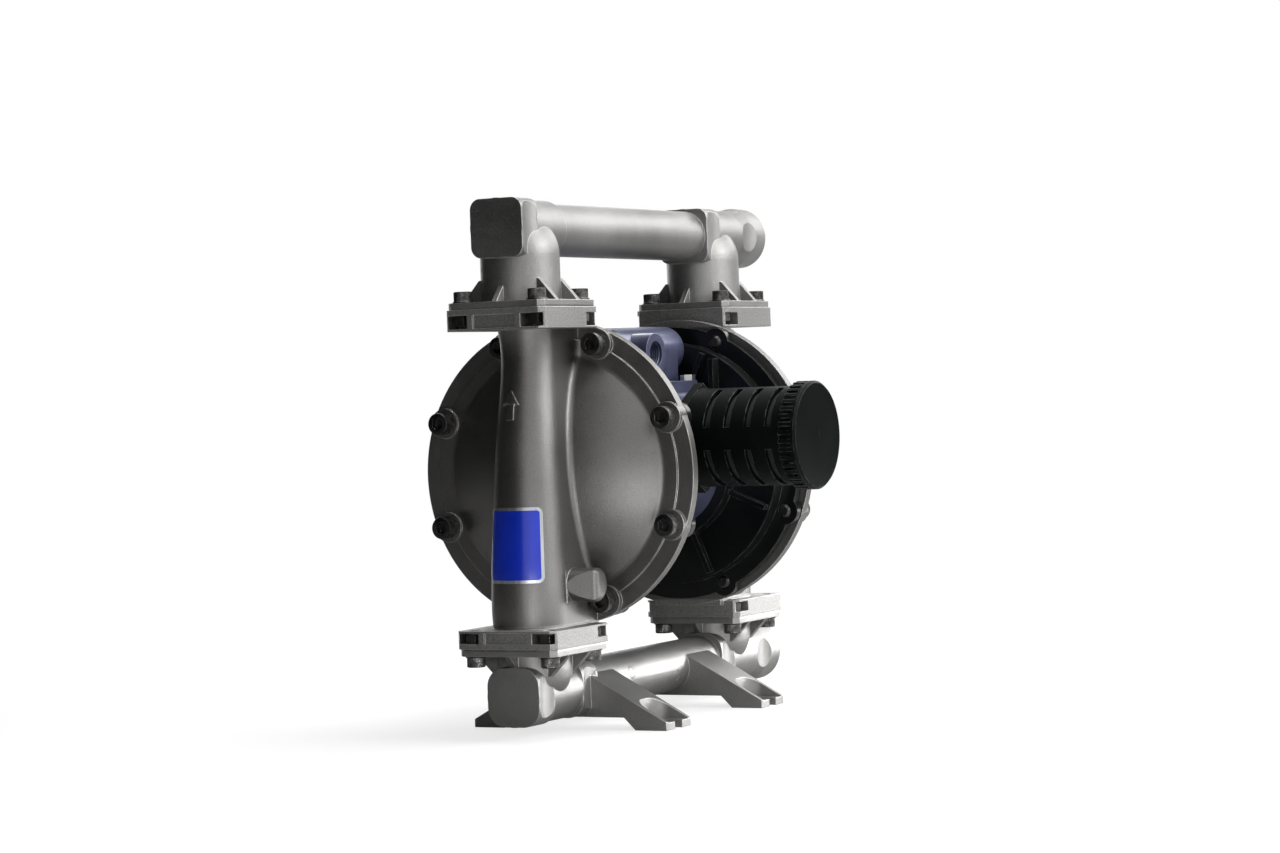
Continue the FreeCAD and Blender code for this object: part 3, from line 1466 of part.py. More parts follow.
def check_places():
    """Name, joint height and side of each of the four check valves."""
    return [
        (f"{port}_{side}", joint, sign * size.riser_offset)
        for port, joint in (("inlet", inlet_joint), ("outlet", outlet_joint))
        for side, sign in (("near", -1), ("far", 1))
    ]


def check_ball(name, joint, along):
    ball = doc.addObject("Part::Sphere", f"check_ball_{name}")
    ball.Label = f"check_ball_{name}"
    bind(ball, "Radius", size.ball_radius)
    bind(ball, "Placement.Base.y", along)
    bind(ball, "Placement.Base.z", joint + ball_rest)
    bodies.append(ball)
    return ball


def ball_seat(name, joint, along):
    body = new_body(f"ball_seat_{name}", rise=joint, along=along)
    outer = size.seat_radius - size.running_gap
    middle = size.seat_height / 2
    groove = size.seal_section + size.running_gap
    cone = size.seat_height - (size.seat_lip - size.seat_bore)
    revolve(body, "z", Outline(
        (0, size.seat_bore),
        (0, outer),
        (middle - groove, outer),
        (middle - groove, outer - groove * 2),
        (middle + groove, outer - groove * 2),
        (middle + groove, outer),
        (size.seat_height, outer),
        (size.seat_height, size.seat_lip),
        (cone, size.seat_bore),
    ))
    return body


def seat_seals():
    """One seal ring round each ball seat."""
    rings = []
    for name, joint, along in check_places():
        ring = doc.addObject("Part::Torus", f"seat_seal_{name}")
        bind(ring, "Radius1", size.seat_radius - size.running_gap - size.seal_section)
        bind(ring, "Radius2", size.seal_section)
        bind(ring, "Placement.Base.y", along)
        bind(ring, "Placement.Base.z", joint + size.seat_height / 2)
        rings.append(ring)
    group = doc.addObject("Part::Compound", "seat_seals")
    group.Label = "seat_seals"
    group.Links = rings
    bodies.append(group)
    return group


# Flange fasteners

def flange_bolts(label, joint, away):
    """Bolts through a manifold flange, with their heads away from the covers."""
    body = new_body(label, rise=joint)
    points = flange_bolt_points((-size.riser_offset, size.riser_offset))
    seat = away * size.manifold_flange_thickness
    head = seat + away * size.flange_head_height
    tip = -away * (size.nut_land + size.nut_height + size.bolt_gap * 2)
    socket = head - away * size.flange_head_height / 2
    shank_span = sorted((seat, tip), key=number)
    extrude(body, "z", *shank_span, *(Disc(x, y, size.flange_bolt_radius) for x, y in points))
    head_span = sorted((seat, head), key=number)
    extrude(body, "z", *head_span, *(Disc(x, y, size.flange_head_radius) for x, y in points))
    socket_span = sorted((socket, head), key=number)
    cut_through(
        body, "z", *socket_span,
        *(hexagon(x, y, size.flange_head_radius) for x, y in points),
    )
    return body


def flange_nuts(label, joint, away):
    body = new_body(label, rise=joint)
    points = flange_bolt_points((-size.riser_offset, size.riser_offset))
    start = -away * size.nut_land
    span = sorted((start, start - away * size.nut_height), key=number)
    extrude(
        body, "z", *span,
        *(hexagon(x, y, size.nut_flats, first=30.0) for x, y in points),
        *(Disc(x, y, size.flange_bolt_radius + size.running_gap) for x, y in points),
    )
    return body


# The whole pump

for side_name in SIDES:
    fluid_cover(side_name)
    cover_bolts(side_name)
    diaphragm(side_name)
    fluid_plate(side_name)
    air_plate(side_name)
    shaft_bolt(side_name)
    air_cover(side_name)
    air_cover_screws(side_name)
    shaft_bearing(side_name)
    shaft_seal(side_name)
    pilot_pin(side_name)
    pilot_bushing(side_name)
    valve_end_plug(side_name)
main_shaft()
center_housing()
ground_screw()
air_valve_body()
air_valve_gasket()
air_valve_screws()
valve_plate()
valve_cup()
valve_spool()
muffler_body()
muffler_element()
muffler_cap()
outlet_manifold()
inlet_manifold()
for place in check_places():
    check_ball(*place)
    ball_seat(*place)
seat_seals()
flange_bolts("outlet_flange_bolts", outlet_joint, 1)
flange_nuts("outlet_flange_nuts", outlet_joint, 1)
flange_bolts("inlet_flange_bolts", inlet_joint, -1)
flange_nuts("inlet_flange_nuts", inlet_joint, -1)
doc.recompute()


# Check every object, then write one file per sub-part

for item in doc.Objects:
    if "Invalid" in item.State or "Error" in item.State:
        raise ValueError(f"{item.Name} did not recompute: {item.State}")
for body in bodies:
    if body.Shape.isNull() or not body.Shape.isValid():
        raise ValueError(f"{body.Label} has no valid shape")

os.makedirs(OUTPUT_FOLDER, exist_ok=True)
for body in bodies:
    body.Shape.exportStep(os.path.join(OUTPUT_FOLDER, f"{body.Label}.step"))
    box = body.Shape.BoundBox
    print(
        f"{body.Label}: {len(body.Shape.Solids)} solids, "
        f"{box.XLength:.1f} x {box.YLength:.1f} x {box.ZLength:.1f}"
    )
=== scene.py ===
import json
import math

import bmesh
import bpy
from mathutils import Matrix, Vector


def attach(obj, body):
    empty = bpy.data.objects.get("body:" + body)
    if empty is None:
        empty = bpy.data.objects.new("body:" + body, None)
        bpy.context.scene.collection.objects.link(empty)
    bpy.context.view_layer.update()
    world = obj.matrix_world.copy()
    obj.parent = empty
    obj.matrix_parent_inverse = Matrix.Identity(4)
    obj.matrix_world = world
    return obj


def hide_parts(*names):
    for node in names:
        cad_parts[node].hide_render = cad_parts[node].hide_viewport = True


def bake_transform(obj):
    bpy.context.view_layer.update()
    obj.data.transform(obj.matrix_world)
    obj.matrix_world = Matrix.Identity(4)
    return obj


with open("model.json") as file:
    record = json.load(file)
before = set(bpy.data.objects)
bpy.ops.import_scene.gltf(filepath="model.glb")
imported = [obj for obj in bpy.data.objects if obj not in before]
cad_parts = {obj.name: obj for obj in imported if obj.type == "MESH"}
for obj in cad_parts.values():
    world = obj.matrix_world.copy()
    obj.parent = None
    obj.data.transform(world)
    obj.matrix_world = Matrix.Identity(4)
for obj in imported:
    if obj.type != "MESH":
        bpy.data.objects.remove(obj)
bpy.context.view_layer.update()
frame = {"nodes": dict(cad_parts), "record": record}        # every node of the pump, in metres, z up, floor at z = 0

print("frame loaded with", len(frame["nodes"]), "nodes")


# Shader maths: a Wire is one output socket, and a sum written with it adds the nodes it needs

class Wire:
    def __init__(self, finish, socket):
        self.finish = finish
        self.socket = socket

    def math(self, operation, *values):
        return self.finish.node("Math", {"operation": operation}, dict(enumerate(values)))

    def __add__(self, other):
        return self.math("ADD", self, other)

    def __sub__(self, other):
        return self.math("SUBTRACT", self, other)

    def __rsub__(self, other):
        return self.math("SUBTRACT", other, self)

    def __mul__(self, other):
        return self.math("MULTIPLY", self, other)

    __radd__ = __add__
    __rmul__ = __mul__

    def spread(self, low, high, lowest=0.0, highest=1.0):     # low..high becomes lowest..highest
        values = {0: self, 1: low, 2: high, 3: lowest, 4: highest}
        return self.finish.node("MapRange", {}, values)


class Finish:            # one material, with what its shader is fed
    def __init__(self, name, **fixed):
        self.material = bpy.data.materials.new(name)
        self.material.use_nodes = True
        self.tree = self.material.node_tree
        self.shader = self.tree.nodes["Principled BSDF"]
        for socketName, value in fixed.items():
            self.feed(self.shader.inputs[socketName.replace("_", " ")], value)
        self.place = self.node("TexCoord", output="Object")

    def feed(self, socket, value):
        if isinstance(value, Wire):
            self.tree.links.new(value.socket, socket)
        elif socket.type == "RGBA":
            socket.default_value = (*value, 1.0)
        else:
            socket.default_value = value

    def node(self, kind, settings=None, values=None, output=0):      # settings before values
        made = self.tree.nodes.new("ShaderNode" + kind)
        for setting, value in (settings or {}).items():
            setattr(made, setting, value)
        for socketName, value in (values or {}).items():
            self.feed(made.inputs[socketName], value)
        return Wire(self, made.outputs[output])

    def along(self, axis):               # how far along X, Y or Z a point lies, in metres
        return self.node("SeparateXYZ", {}, {0: self.place}, output=axis)

    def noise(self, scale, detail=3.0, roughness=0.55, stretch=(1, 1, 1)):
        place = self.node("Mapping", {}, {"Vector": self.place, "Scale": stretch})
        return self.node("TexNoise", {}, {
            "Vector": place, "Scale": scale, "Detail": detail, "Roughness": roughness,
        })

    def cells(self, scale):
        values = {"Vector": self.place, "Scale": scale}
        return self.node("TexVoronoi", {"feature": "F1"}, values)

    def mix(self, mask, first, second):
        return self.node("Mix", {"data_type": "RGBA"}, {0: mask, 6: first, 7: second}, output=2)

    def rounded(self, radius):       # the surface's direction with every edge eased
        return self.node("Bevel", {"samples": 6}, {"Radius": radius})

    def nearEdge(self, eased, reach=0.25):      # 1 along edges, 0 on flats and gentle curves
        flat = self.node("NewGeometry", output="Normal")
        along = self.node(
            "VectorMath", {"operation": "DOT_PRODUCT"}, {0: eased, 1: flat}, output="Value",
        )
        return (1 - along).spread(0.0, reach)

    def bump(self, height, distance, eased=None):
        values = {"Height": height, "Distance": distance, "Strength": 1.0}
        if eased is not None:
            values["Normal"] = eased
        return self.node("Bump", {}, values)

    def show(self, **wires):
        for socketName, value in wires.items():
            self.feed(self.shader.inputs[socketName.replace("_", " ")], value)
        return self.material


# Metal finishes

middling = (0.3, 0.7)      # the part of a noise's range that carries one tone into the other


def castMetal(name, look):
    finish = Finish(name, Metallic=look["metallic"], IOR=1.6, Specular_IOR_Level=0.5)
    eased = finish.rounded(look["edge"])
    cloud = finish.noise(look["cloudScale"], 5.0, 0.6)
    streak = finish.noise(look["cloudScale"] * 2, 3.0, 0.5, stretch=(1, 1, 0.25))
    grain = finish.noise(look["grainScale"], 4.0, 0.7)
    sand = finish.noise(look["grainScale"] * look["sandShare"], 3.0, 0.8)
    pits = finish.cells(look["grainScale"] * look["pitShare"]).spread(0.05, 0.32)
    height = finish.along("Z")
    blocks = 0.0                      # the flange blocks keep a coarser skin from the mould
    for edge, inward in look["blocks"]:
        blocks = height.spread(edge, edge + inward) + blocks
    tone = finish.mix(cloud.spread(0.32, 0.68), look["dark"], look["light"])
    tone = finish.mix(streak.spread(0.5, 0.75) * look["streak"], tone, look["shade"])
    tone = finish.mix(grain.spread(0.3, 0.75) * look["speckle"], tone, look["sparkle"])
    tone = finish.mix(sand.spread(0.46, 0.34) * look["speckle"], tone, look["shade"])
    skin = blocks * sand.spread(0.38, 0.62, 0.25, 0.95) * look["blockTint"]
    tone = finish.mix(skin, tone, look["blockTone"])
    # pale tone along edges: partly wear, partly a painted highlight along rims and edges
    patches = finish.noise(look["wearScale"], 4.0).spread(0.3, 0.55, 0.25, 1.0)
    edgeWearAndHighlight = finish.nearEdge(eased) * patches
    tone = finish.mix(edgeWearAndHighlight * look["wearAndHighlight"], tone, look["bareAndHighlightTone"])
    relief = grain + pits * look["pitDepth"] + blocks * sand * look["blockDepth"]
    for line in look["seams"](finish):
        relief = relief + line * look["seamDepth"]
    satin = cloud.spread(*middling, *look["rough"]) + (grain - 0.5) * look["grainRough"]
    return finish.show(
        Base_Color=tone,
        Roughness=satin + blocks * look["blockRough"] - edgeWearAndHighlight * look["wornGloss"],
        Normal=finish.bump(relief, look["depth"], eased),
    )


def noSeams(finish):
    return []


def ring(finish, middle, radius, width, flat):      # a raised ring on the side of a pipe
    place = finish.node("Mapping", {}, {"Vector": finish.place, "Scale": flat})
    centre = tuple(a * b for a, b in zip(middle, flat))
    away = finish.node(
        "VectorMath", {"operation": "DISTANCE"}, {0: place, 1: centre}, output="Value",
    )
    return away.spread(radius - width, radius) - away.spread(radius, radius + width)


pipeMarks = {
    "radius": 0.0042, "width": 0.0005,
    "places": ((-0.0885, 0.038), (-0.032, 0.035), (0.0393, 0.0262)),       # along the pipe, height
}


def mouldMarks(finish):               # the moulder's round marks on both sides of the inlet pipe
    return [
        ring(finish, (0.0, along, level), pipeMarks["radius"], pipeMarks["width"], (0, 1, 1))
        for along, level in pipeMarks["places"]
    ]


def darkSteel(name, look):
    finish = Finish(name, Metallic=look["metallic"], IOR=1.6)
    eased = finish.rounded(look["edge"])
    stain = finish.noise(look["stainScale"], 4.0)
    fine = finish.noise(look["fineScale"], 3.0, 0.6)
    tone = finish.mix(stain.spread(0.35, 0.7), look["dark"], look["light"])
    # pale tone along edges: partly wear, partly a painted highlight on head rims and sockets
    edgeWearAndHighlight = finish.nearEdge(eased) * finish.noise(look["wearScale"], 3.0).spread(0.4, 0.62)
    tone = finish.mix(edgeWearAndHighlight * look["wearAndHighlight"], tone, look["bareAndHighlightTone"])
    return finish.show(
        Base_Color=tone,
        Roughness=stain.spread(*middling, *look["rough"]) - edgeWearAndHighlight * look["wornGloss"],
        Normal=finish.bump(fine, look["depth"], eased),
    )


def brightMetal(name, look):       # turned or ground metal with fine rings left by the tool
    finish = Finish(name, Metallic=1.0, IOR=1.8)
    eased = finish.rounded(look["edge"])
    rings = finish.noise(look["ringScale"], 2.0, 0.5, stretch=look["ringAlong"])
    smear = finish.noise(look["smearScale"], 4.0)
    tone = finish.mix(smear.spread(*middling), look["dark"], look["light"])
    tone = finish.mix(rings.spread(0.55, 0.8) * look["ringShade"], tone, look["shade"])
    return finish.show(
        Base_Color=tone,
        Roughness=smear.spread(*middling, *look["rough"]) + rings * look["ringRough"],
        Normal=finish.bump(rings, look["depth"], eased),
    )


# Paint, plastic and rubber

def paint(name, look):
    finish = Finish(
        name, Metallic=look["metallic"], IOR=1.5, Specular_IOR_Level=look["shine"],
        Coat_Roughness=look["coatRough"], Coat_IOR=1.5,
    )
    eased = finish.rounded(look["edge"])
    orangePeel = finish.noise(look["peelScale"], 2.0, 0.4)
    cloud = finish.noise(look["cloudScale"], 4.0)
    dust = finish.noise(look["dustScale"], 5.0, 0.7).spread(0.6, 0.85)
    tone = finish.mix(cloud.spread(*middling), look["dark"], look["light"])
    tone = finish.mix(dust * look["dust"], tone, look["dustTone"])
    # pale tone along edges: partly chipped paint, partly a painted highlight along ribs and rims
    edgeWearAndHighlight = finish.nearEdge(eased) * finish.noise(look["wearScale"], 4.0).spread(0.42, 0.62)
    tone = finish.mix(edgeWearAndHighlight * look["wearAndHighlight"], tone, look["bareAndHighlightTone"])
    return finish.show(
        Base_Color=tone,
        Roughness=cloud.spread(*middling, *look["rough"]) + dust * look["dustRough"],
        Coat_Weight=(1 - dust) * look["coat"],
        Normal=finish.bump(orangePeel, look["depth"], eased),
    )


def plastic(name, look):
    finish = Finish(name, IOR=1.48, Specular_IOR_Level=look["shine"])
    eased = finish.rounded(look["edge"])
    leather = finish.noise(look["grainScale"], 3.0, 0.6)
    flow = finish.noise(look["flowScale"], 3.0)
    tone = finish.mix(flow.spread(*middling), look["dark"], look["light"])
    # pale tone along edges: partly wear, partly a painted highlight along slot and notch edges
    edgeWearAndHighlight = finish.nearEdge(eased) * finish.noise(look["wearScale"], 4.0).spread(0.4, 0.6)
    tone = finish.mix(edgeWearAndHighlight * look["wearAndHighlight"], tone, look["bareAndHighlightTone"])
    satin = flow.spread(*middling, *look["rough"])
    return finish.show(
        Base_Color=tone,
        Roughness=satin + (leather - 0.5) * look["grainRough"],
        Normal=finish.bump(leather, look["depth"], eased),
    )


castLook = {
    "metallic": 0.82, "edge": 0.0008, "cloudScale": 14.0, "grainScale": 1500.0, "wearScale": 70.0,
    "sandShare": 0.45, "pitShare": 0.6,       # their scale, as a share of the grain's
    "depth": 0.00012, "pitDepth": 0.5, "blockDepth": 1.6, "seamDepth": 4.0,
    "dark": (0.13, 0.126, 0.121), "light": (0.18, 0.175, 0.169), "shade": (0.09, 0.087, 0.083),
    "streak": 0.35, "sparkle": (0.42, 0.415, 0.41), "speckle": 0.24,
    "bareAndHighlightTone": (0.85, 0.84, 0.82), "wearAndHighlight": 0.9, "rough": (0.31, 0.42), "grainRough": 0.12,
    "blockRough": 0.16, "wornGloss": 0.1,
    "blocks": ((0.2870, 0.0010), (0.0800, -0.0010)),      # height of a flange's edge, way inward
    "blockTone": (0.4, 0.398, 0.39), "blockTint": 0.75, "seams": noSeams,
}
manifoldLook = {
    **castLook, "metallic": 0.86, "dark": (0.2, 0.197, 0.191), "light": (0.3, 0.297, 0.29),
    "shade": (0.14, 0.137, 0.132), "sparkle": (0.55, 0.545, 0.54), "speckle": 0.22,
    "bareAndHighlightTone": (0.8, 0.795, 0.78), "rough": (0.21, 0.32), "blockTone": (0.3, 0.297, 0.29),
    "blocks": ((0.3030, 0.0010), (0.0640, -0.0010)), "blockTint": 0.0, "seams": mouldMarks,
}
valveLook = {
    **castLook, "dark": (0.2, 0.2, 0.195), "light": (0.27, 0.268, 0.26), "edge": 0.0006,
    "blockTint": 0.0,
}
blackSteelLook = {
    "metallic": 0.8, "edge": 0.0004, "stainScale": 140.0, "fineScale": 2600.0, "wearScale": 300.0,
    "depth": 0.00003, "dark": (0.03, 0.029, 0.029), "light": (0.065, 0.063, 0.062),
    "bareAndHighlightTone": (0.5, 0.49, 0.48), "wearAndHighlight": 0.9, "rough": (0.24, 0.4), "wornGloss": 0.12,
}
nutLook = {
    **blackSteelLook, "dark": (0.05, 0.05, 0.052), "light": (0.1, 0.098, 0.095),
    "bareAndHighlightTone": (0.3, 0.3, 0.29),
}
screwLook = {
    "edge": 0.0003, "ringScale": 900.0, "ringAlong": (1, 0.05, 0.05), "ringShade": 0.3,
    "smearScale": 45.0, "depth": 0.00002, "dark": (0.5, 0.5, 0.49), "light": (0.66, 0.66, 0.65),
    "shade": (0.34, 0.34, 0.33), "rough": (0.2, 0.3), "ringRough": 0.06,
}
shaftLook = {**screwLook, "ringAlong": (0.02, 1, 0.02), "rough": (0.14, 0.24)}
seatLook = {**screwLook, "ringAlong": (0.05, 0.05, 1), "rough": (0.18, 0.28)}
plateLook = {**screwLook, "rough": (0.3, 0.4)}
blackPaintLook = {
    "metallic": 0.0, "edge": 0.0009, "peelScale": 420.0, "cloudScale": 25.0, "dustScale": 420.0,
    "wearScale": 120.0, "depth": 0.00006, "dark": (0.003, 0.0035, 0.0035),
    "light": (0.006, 0.0068, 0.0068), "dust": 0.2, "dustTone": (0.03, 0.032, 0.034),
    "bareAndHighlightTone": (0.36, 0.37, 0.37), "wearAndHighlight": 0.6, "rough": (0.28, 0.38), "dustRough": 0.2,
    "coat": 0.15, "coatRough": 0.12, "shine": 0.25,
}
housingLook = {
    **blackPaintLook, "metallic": 0.45, "dark": (0.075, 0.083, 0.145),
    "light": (0.135, 0.148, 0.25), "dustTone": (0.16, 0.165, 0.2), "bareAndHighlightTone": (0.34, 0.34, 0.38),
    "wearAndHighlight": 0.4, "rough": (0.34, 0.44), "coat": 0.25, "shine": 0.5,
}
mufflerLook = {
    "edge": 0.0007, "grainScale": 900.0, "flowScale": 18.0, "wearScale": 160.0, "depth": 0.00008,
    "dark": (0.003, 0.0037, 0.0035), "light": (0.006, 0.0074, 0.007), "bareAndHighlightTone": (0.42, 0.44, 0.44),
    "wearAndHighlight": 0.8, "rough": (0.42, 0.52), "grainRough": 0.15, "shine": 0.07,
}
rubberLook = {
    **mufflerLook, "grainScale": 1400.0, "dark": (0.016, 0.016, 0.016),
    "light": (0.028, 0.028, 0.027), "bareAndHighlightTone": (0.036, 0.036, 0.035), "wearAndHighlight": 0.4,
    "rough": (0.55, 0.65), "shine": 0.4,
}
sealLook = {
    **rubberLook, "grainScale": 900.0, "dark": (0.014, 0.014, 0.013),
    "light": (0.022, 0.022, 0.021), "rough": (0.5, 0.6),
}
feltLook = {
    **rubberLook, "grainScale": 500.0, "depth": 0.0004, "dark": (0.02, 0.02, 0.02),
    "light": (0.045, 0.044, 0.042), "rough": (0.85, 0.95),
}
gasketLook = {
    **rubberLook, "grainScale": 700.0, "dark": (0.1, 0.075, 0.05), "light": (0.16, 0.125, 0.09),
    "bareAndHighlightTone": (0.22, 0.18, 0.13), "rough": (0.8, 0.9),
}
ballLook = {
    **rubberLook, "grainScale": 900.0, "dark": (0.74, 0.73, 0.69), "light": (0.84, 0.83, 0.8),
    "bareAndHighlightTone": (0.7, 0.69, 0.65), "wearAndHighlight": 0.2, "rough": (0.28, 0.38), "shine": 0.5,
}
bearingLook = {
    **ballLook, "dark": (0.5, 0.47, 0.38), "light": (0.6, 0.57, 0.48), "bareAndHighlightTone": (0.65, 0.62, 0.54),
    "rough": (0.4, 0.5),
}
ceramicLook = {
    **ballLook, "dark": (0.76, 0.75, 0.72), "light": (0.85, 0.84, 0.81),
    "bareAndHighlightTone": (0.6, 0.59, 0.56), "rough": (0.22, 0.32),
}
cupLook = {
    **ballLook, "dark": (0.03, 0.03, 0.032), "light": (0.05, 0.05, 0.052),
    "bareAndHighlightTone": (0.12, 0.12, 0.125), "rough": (0.4, 0.5),
}

slotMaterials = {
    "cast_cover": castMetal("castCover", castLook),
    "cast_manifold": castMetal("castManifold", manifoldLook),
    "valve_cast": castMetal("castValve", valveLook),
    "plate_aluminium": brightMetal("turnedPlate", plateLook),
    "black_cover": paint("blackAirCover", blackPaintLook),
    "housing_paint": paint("housingPaint", housingLook),
    "black_fastener": darkSteel("blackBolt", blackSteelLook),
    "nut_steel": darkSteel("steelNut", nutLook),
    "bright_steel": brightMetal("brightScrew", screwLook),
    "turned_steel": brightMetal("turnedShaft", shaftLook),
    "seat_steel": brightMetal("turnedSeat", seatLook),
    "muffler_plastic": plastic("mufflerPlastic", mufflerLook),
    "diaphragm_rubber": plastic("diaphragmRubber", rubberLook),
    "seal_rubber": plastic("sealRubber", sealLook),
    "muffler_felt": plastic("mufflerFelt", feltLook),
    "gasket_paper": plastic("gasketPaper", gasketLook),
    "ball_white": plastic("ballPlastic", ballLook),
    "bearing_plastic": plastic("bearingPlastic", bearingLook),
    "ceramic": plastic("ceramicPlate", ceramicLook),
    "cup_plastic": plastic("cupPlastic", cupLook),
}
for part in frame["record"]["subparts"]:
    node = frame["nodes"][part["node"]]
    material = slotMaterials[part["material_slot"]]
    if not node.material_slots:
        node.data.materials.append(material)
    for held in node.material_slots:
        held.material = material
print("finishes made:", len(slotMaterials))


# Modelling helpers

hair = 1e-6            # metres, for finding edges by their height
gap = 1e-5             # metres, the least distance between two corners
shaftHeight = 0.1845   # floor to the shaft axis
pumpSides = (("near", -1), ("far", 1))
smoothAngle, fastenerAngle, threadAngle = 30.0, 28.0, 25.0     # degrees, sharper edges show


def begin(name, add, **where):        # a primitive, the only thing selected
    if bpy.context.object and bpy.context.object.mode == "EDIT":
        bpy.ops.object.mode_set(mode="OBJECT")
    bpy.ops.object.select_all(action="DESELECT")
    add(**where)
    piece = bpy.context.object
    piece.name = piece.data.name = name
    return piece


def activate(*pieces):
    bpy.ops.object.select_all(action="DESELECT")
    for piece in pieces:
        piece.select_set(True)
    bpy.context.view_layer.objects.active = pieces[0]


def edit(piece):
    activate(piece)
    bpy.ops.object.mode_set(mode="EDIT")


def leave():
    bpy.ops.object.mode_set(mode="OBJECT")


def pick(piece, kind, wanted):        # selects the faces or edges that the test wants
    bpy.ops.mesh.select_mode(type=kind)
    bpy.ops.mesh.select_all(action="DESELECT")
    mesh = bmesh.from_edit_mesh(piece.data)
    for item in {"FACE": mesh.faces, "EDGE": mesh.edges}[kind]:
        if wanted(item):
            item.select_set(True)
    bmesh.update_edit_mesh(piece.data)


def lowest(edge):
    return min(corner.co.z for corner in edge.verts)


def highest(edge):
    return max(corner.co.z for corner in edge.verts)


def settle(piece):                    # its place goes into its mesh
    activate(piece)
    bpy.ops.object.transform_apply(location=True, rotation=True, scale=True)


def modify(piece, kind, **settings):
    activate(piece)
    modifier = piece.modifiers.new(kind.lower(), kind)
    for setting, value in settings.items():
        setattr(modifier, setting, value)
    bpy.ops.object.modifier_apply(modifier=modifier.name)


def copyTo(piece, name, where):       # a copy with a mesh of its own, moved by a matrix
    twin = piece.copy()
    twin.data = piece.data.copy()
    twin.name = twin.data.name = name
    twin.data.transform(where)
    bpy.context.scene.collection.objects.link(twin)
    return twin


def joinAs(name, pieces):
    activate(*pieces)
    bpy.ops.object.join()
    whole = bpy.context.object
    whole.name = whole.data.name = name
    return whole


def smooth(piece, angle=smoothAngle):
    activate(piece)
    bpy.ops.object.shade_smooth_by_angle(angle=math.radians(angle))


def finishPiece(piece, slotName, angle=smoothAngle):      # material, shading, what it rides on
    piece.data.materials.clear()
    piece.data.materials.append(slotMaterials[slotName])
    smooth(piece, angle)
    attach(piece, "casing")


# Label plate on the near column

label = {
    "low": 0.110, "high": 0.163, "halfTurn": 49.0, "corner": 0.0045, "cornerCuts": 8,
    "border": 0.0022, "thickness": 0.0006, "lift": 0.0002, "strips": 44, "rows": 14,
    "blues": ((0.004, 0.035, 0.68), (0.008, 0.05, 0.8)), "scuffTone": (0.1, 0.16, 0.6),
    "scuffShare": 0.3, "scuffRough": 0.25, "rough": (0.28, 0.36), "rimRough": (0.3, 0.42),
    "fadeScale": 60.0, "scuffScale": 260.0, "peelScale": 700.0, "coat": 0.5, "coatRough": 0.12,
    "rimTones": ((0.42, 0.44, 0.46), (0.62, 0.64, 0.66)), "brushScale": 300.0, "rimEdge": 0.0002,
    "grain": 0.00003,
    "column": (          # height, middle and radius of the column under the plate
        (0.0741, -0.1420, 0.0278), (0.1185, -0.1420, 0.0278), (0.1515, -0.1408, 0.0263),
        (shaftHeight, -0.1396, 0.0248),
    ),
}


def labelMaterials(size):
    field = Finish("labelField", IOR=1.5, Coat_Roughness=size["coatRough"], Coat_IOR=1.5)
    faded = field.noise(size["fadeScale"], 3.0)
    blue = field.mix(faded.spread(*middling), *size["blues"])
    scuff = field.noise(size["scuffScale"], 5.0, 0.75).spread(0.62, 0.8)
    field.show(
        Base_Color=field.mix(scuff * size["scuffShare"], blue, size["scuffTone"]),
        Roughness=faded.spread(*middling, *size["rough"]) + scuff * size["scuffRough"],
        Coat_Weight=(1 - scuff) * size["coat"],
        Normal=field.bump(field.noise(size["peelScale"], 2.0), size["grain"]),
    )
    rim = Finish("labelRim", Metallic=0.9, IOR=1.6)
    brushed = rim.noise(size["brushScale"], 3.0, 0.5, stretch=(1, 1, 0.06))
    rim.show(
        Base_Color=rim.mix(brushed.spread(*middling), *size["rimTones"]),
        Roughness=brushed.spread(*middling, *size["rimRough"]),
        Normal=rim.bump(brushed, size["grain"], rim.rounded(size["rimEdge"])),
    )
    return field.material, rim.material


def columnAt(size, height):           # middle and radius of the column at a height
    for (low, lowMiddle, lowRadius), (high, highMiddle, highRadius) in zip(
        size["column"], size["column"][1:],
    ):
        if height <= high:
            share = (height - low) / (high - low)
            middle = lowMiddle + (highMiddle - lowMiddle) * share
            return middle, lowRadius + (highRadius - lowRadius) * share


